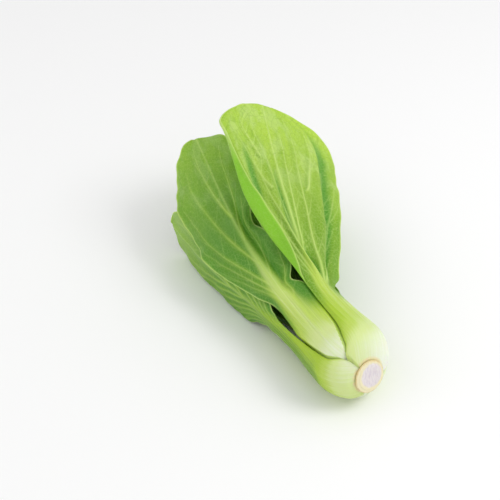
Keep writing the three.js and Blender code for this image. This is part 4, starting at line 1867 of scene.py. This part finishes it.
@dataclass(frozen=True)
class Studio:
    """A pale floor, soft light and the camera."""

    frame_side: int = 500
    focal_pixels: float = 1217.0
    sensor: float = 36.0
    azimuth: float = -25.0
    elevation: float = 38.0
    distance: float = 720.0
    cut_pixel: tuple[float, float] = (369.0, 376.0)
    floor_side: float = 6.0
    floor_colour: Rgb = (250, 250, 250)
    floor_roughness: float = 0.9
    room_light: float = 0.78
    lamps: tuple[Lamp, ...] = (
        Lamp("key", (0.55, -0.45, 0.85), 0.5, 3.6),
        Lamp("side", (-0.7, 0.2, 0.6), 0.8, 0.8),
    )

    def directions(self) -> tuple[Vector, Vector, Vector]:
        """The camera's right, up and backward directions.

        Returns:
            The three directions, each of length 1.
        """
        az, el = math.radians(self.azimuth), math.radians(self.elevation)
        back = Vector((math.sin(az) * math.cos(el), -math.cos(az) * math.cos(el), math.sin(el)))
        right = Vector((math.cos(az), math.sin(az), 0.0))
        return right, back.cross(right), back

    def camera(self, cut_middle: Vector) -> bpy.types.Object:
        """Places the camera so that the middle of the cut shows where it should.

        Args:
            cut_middle: the middle of the cut, in metres.

        Returns:
            The camera.
        """
        right, up, back = self.directions()
        per_pixel = self.distance * MM / self.focal_pixels
        aside = (self.cut_pixel[0] - self.frame_side / 2) * per_pixel
        rise = (self.frame_side / 2 - self.cut_pixel[1]) * per_pixel
        data = bpy.data.cameras.new("camera")
        data.sensor_width = self.sensor
        data.lens = self.focal_pixels / self.frame_side * self.sensor
        camera = added("camera", data)
        turned = Matrix((right, up, back)).transposed().to_4x4()
        place = cut_middle - right * aside - up * rise + back * self.distance * MM
        camera.matrix_world = Matrix.Translation(place) @ turned
        bpy.context.scene.camera = camera
        return camera

    def floor(self) -> None:
        """Lays the floor."""
        half = self.floor_side / 2
        corners = [(-half, -half, 0), (half, -half, 0), (half, half, 0), (-half, half, 0)]
        mesh = bpy.data.meshes.new("floor")
        mesh.from_pydata(corners, [], [(0, 1, 2, 3)])
        shader = Shader("floor_paper")
        colour = srgb(*self.floor_colour)
        mesh.materials.append(shader.surface(Base_Color=colour, Roughness=self.floor_roughness))
        made = added("floor", mesh)

    def world(self) -> None:
        """Fills the room with even white light."""
        world = bpy.data.worlds.new("room")
        world.use_nodes = True
        background = world.node_tree.nodes["Background"]
        background.inputs["Color"].default_value = (1.0, 1.0, 1.0, 1.0)
        background.inputs["Strength"].default_value = self.room_light
        bpy.context.scene.world = world

    def set_up(self, cut_middle: Vector) -> None:
        """Builds the whole studio.

        Args:
            cut_middle: the middle of the cut, in metres.
        """
        self.camera(cut_middle)
        self.floor()
        self.world()
        for lamp in self.lamps:
            lamp.hang()
        bpy.context.scene.view_settings.view_transform = "Standard"


# ---------------------------------------------------------------- in order


def main() -> None:
    """Builds the head and the studio, and notes each piece as it is built."""
    logging.basicConfig(level=logging.INFO, format="%(message)s")
    head = BokChoy()
    Studio().set_up(Vector(head.axis.middle(0.0) * MM))
    for piece in head.build():
        LOG.info("built %s", piece.name)


if __name__ == "__main__":
    main()
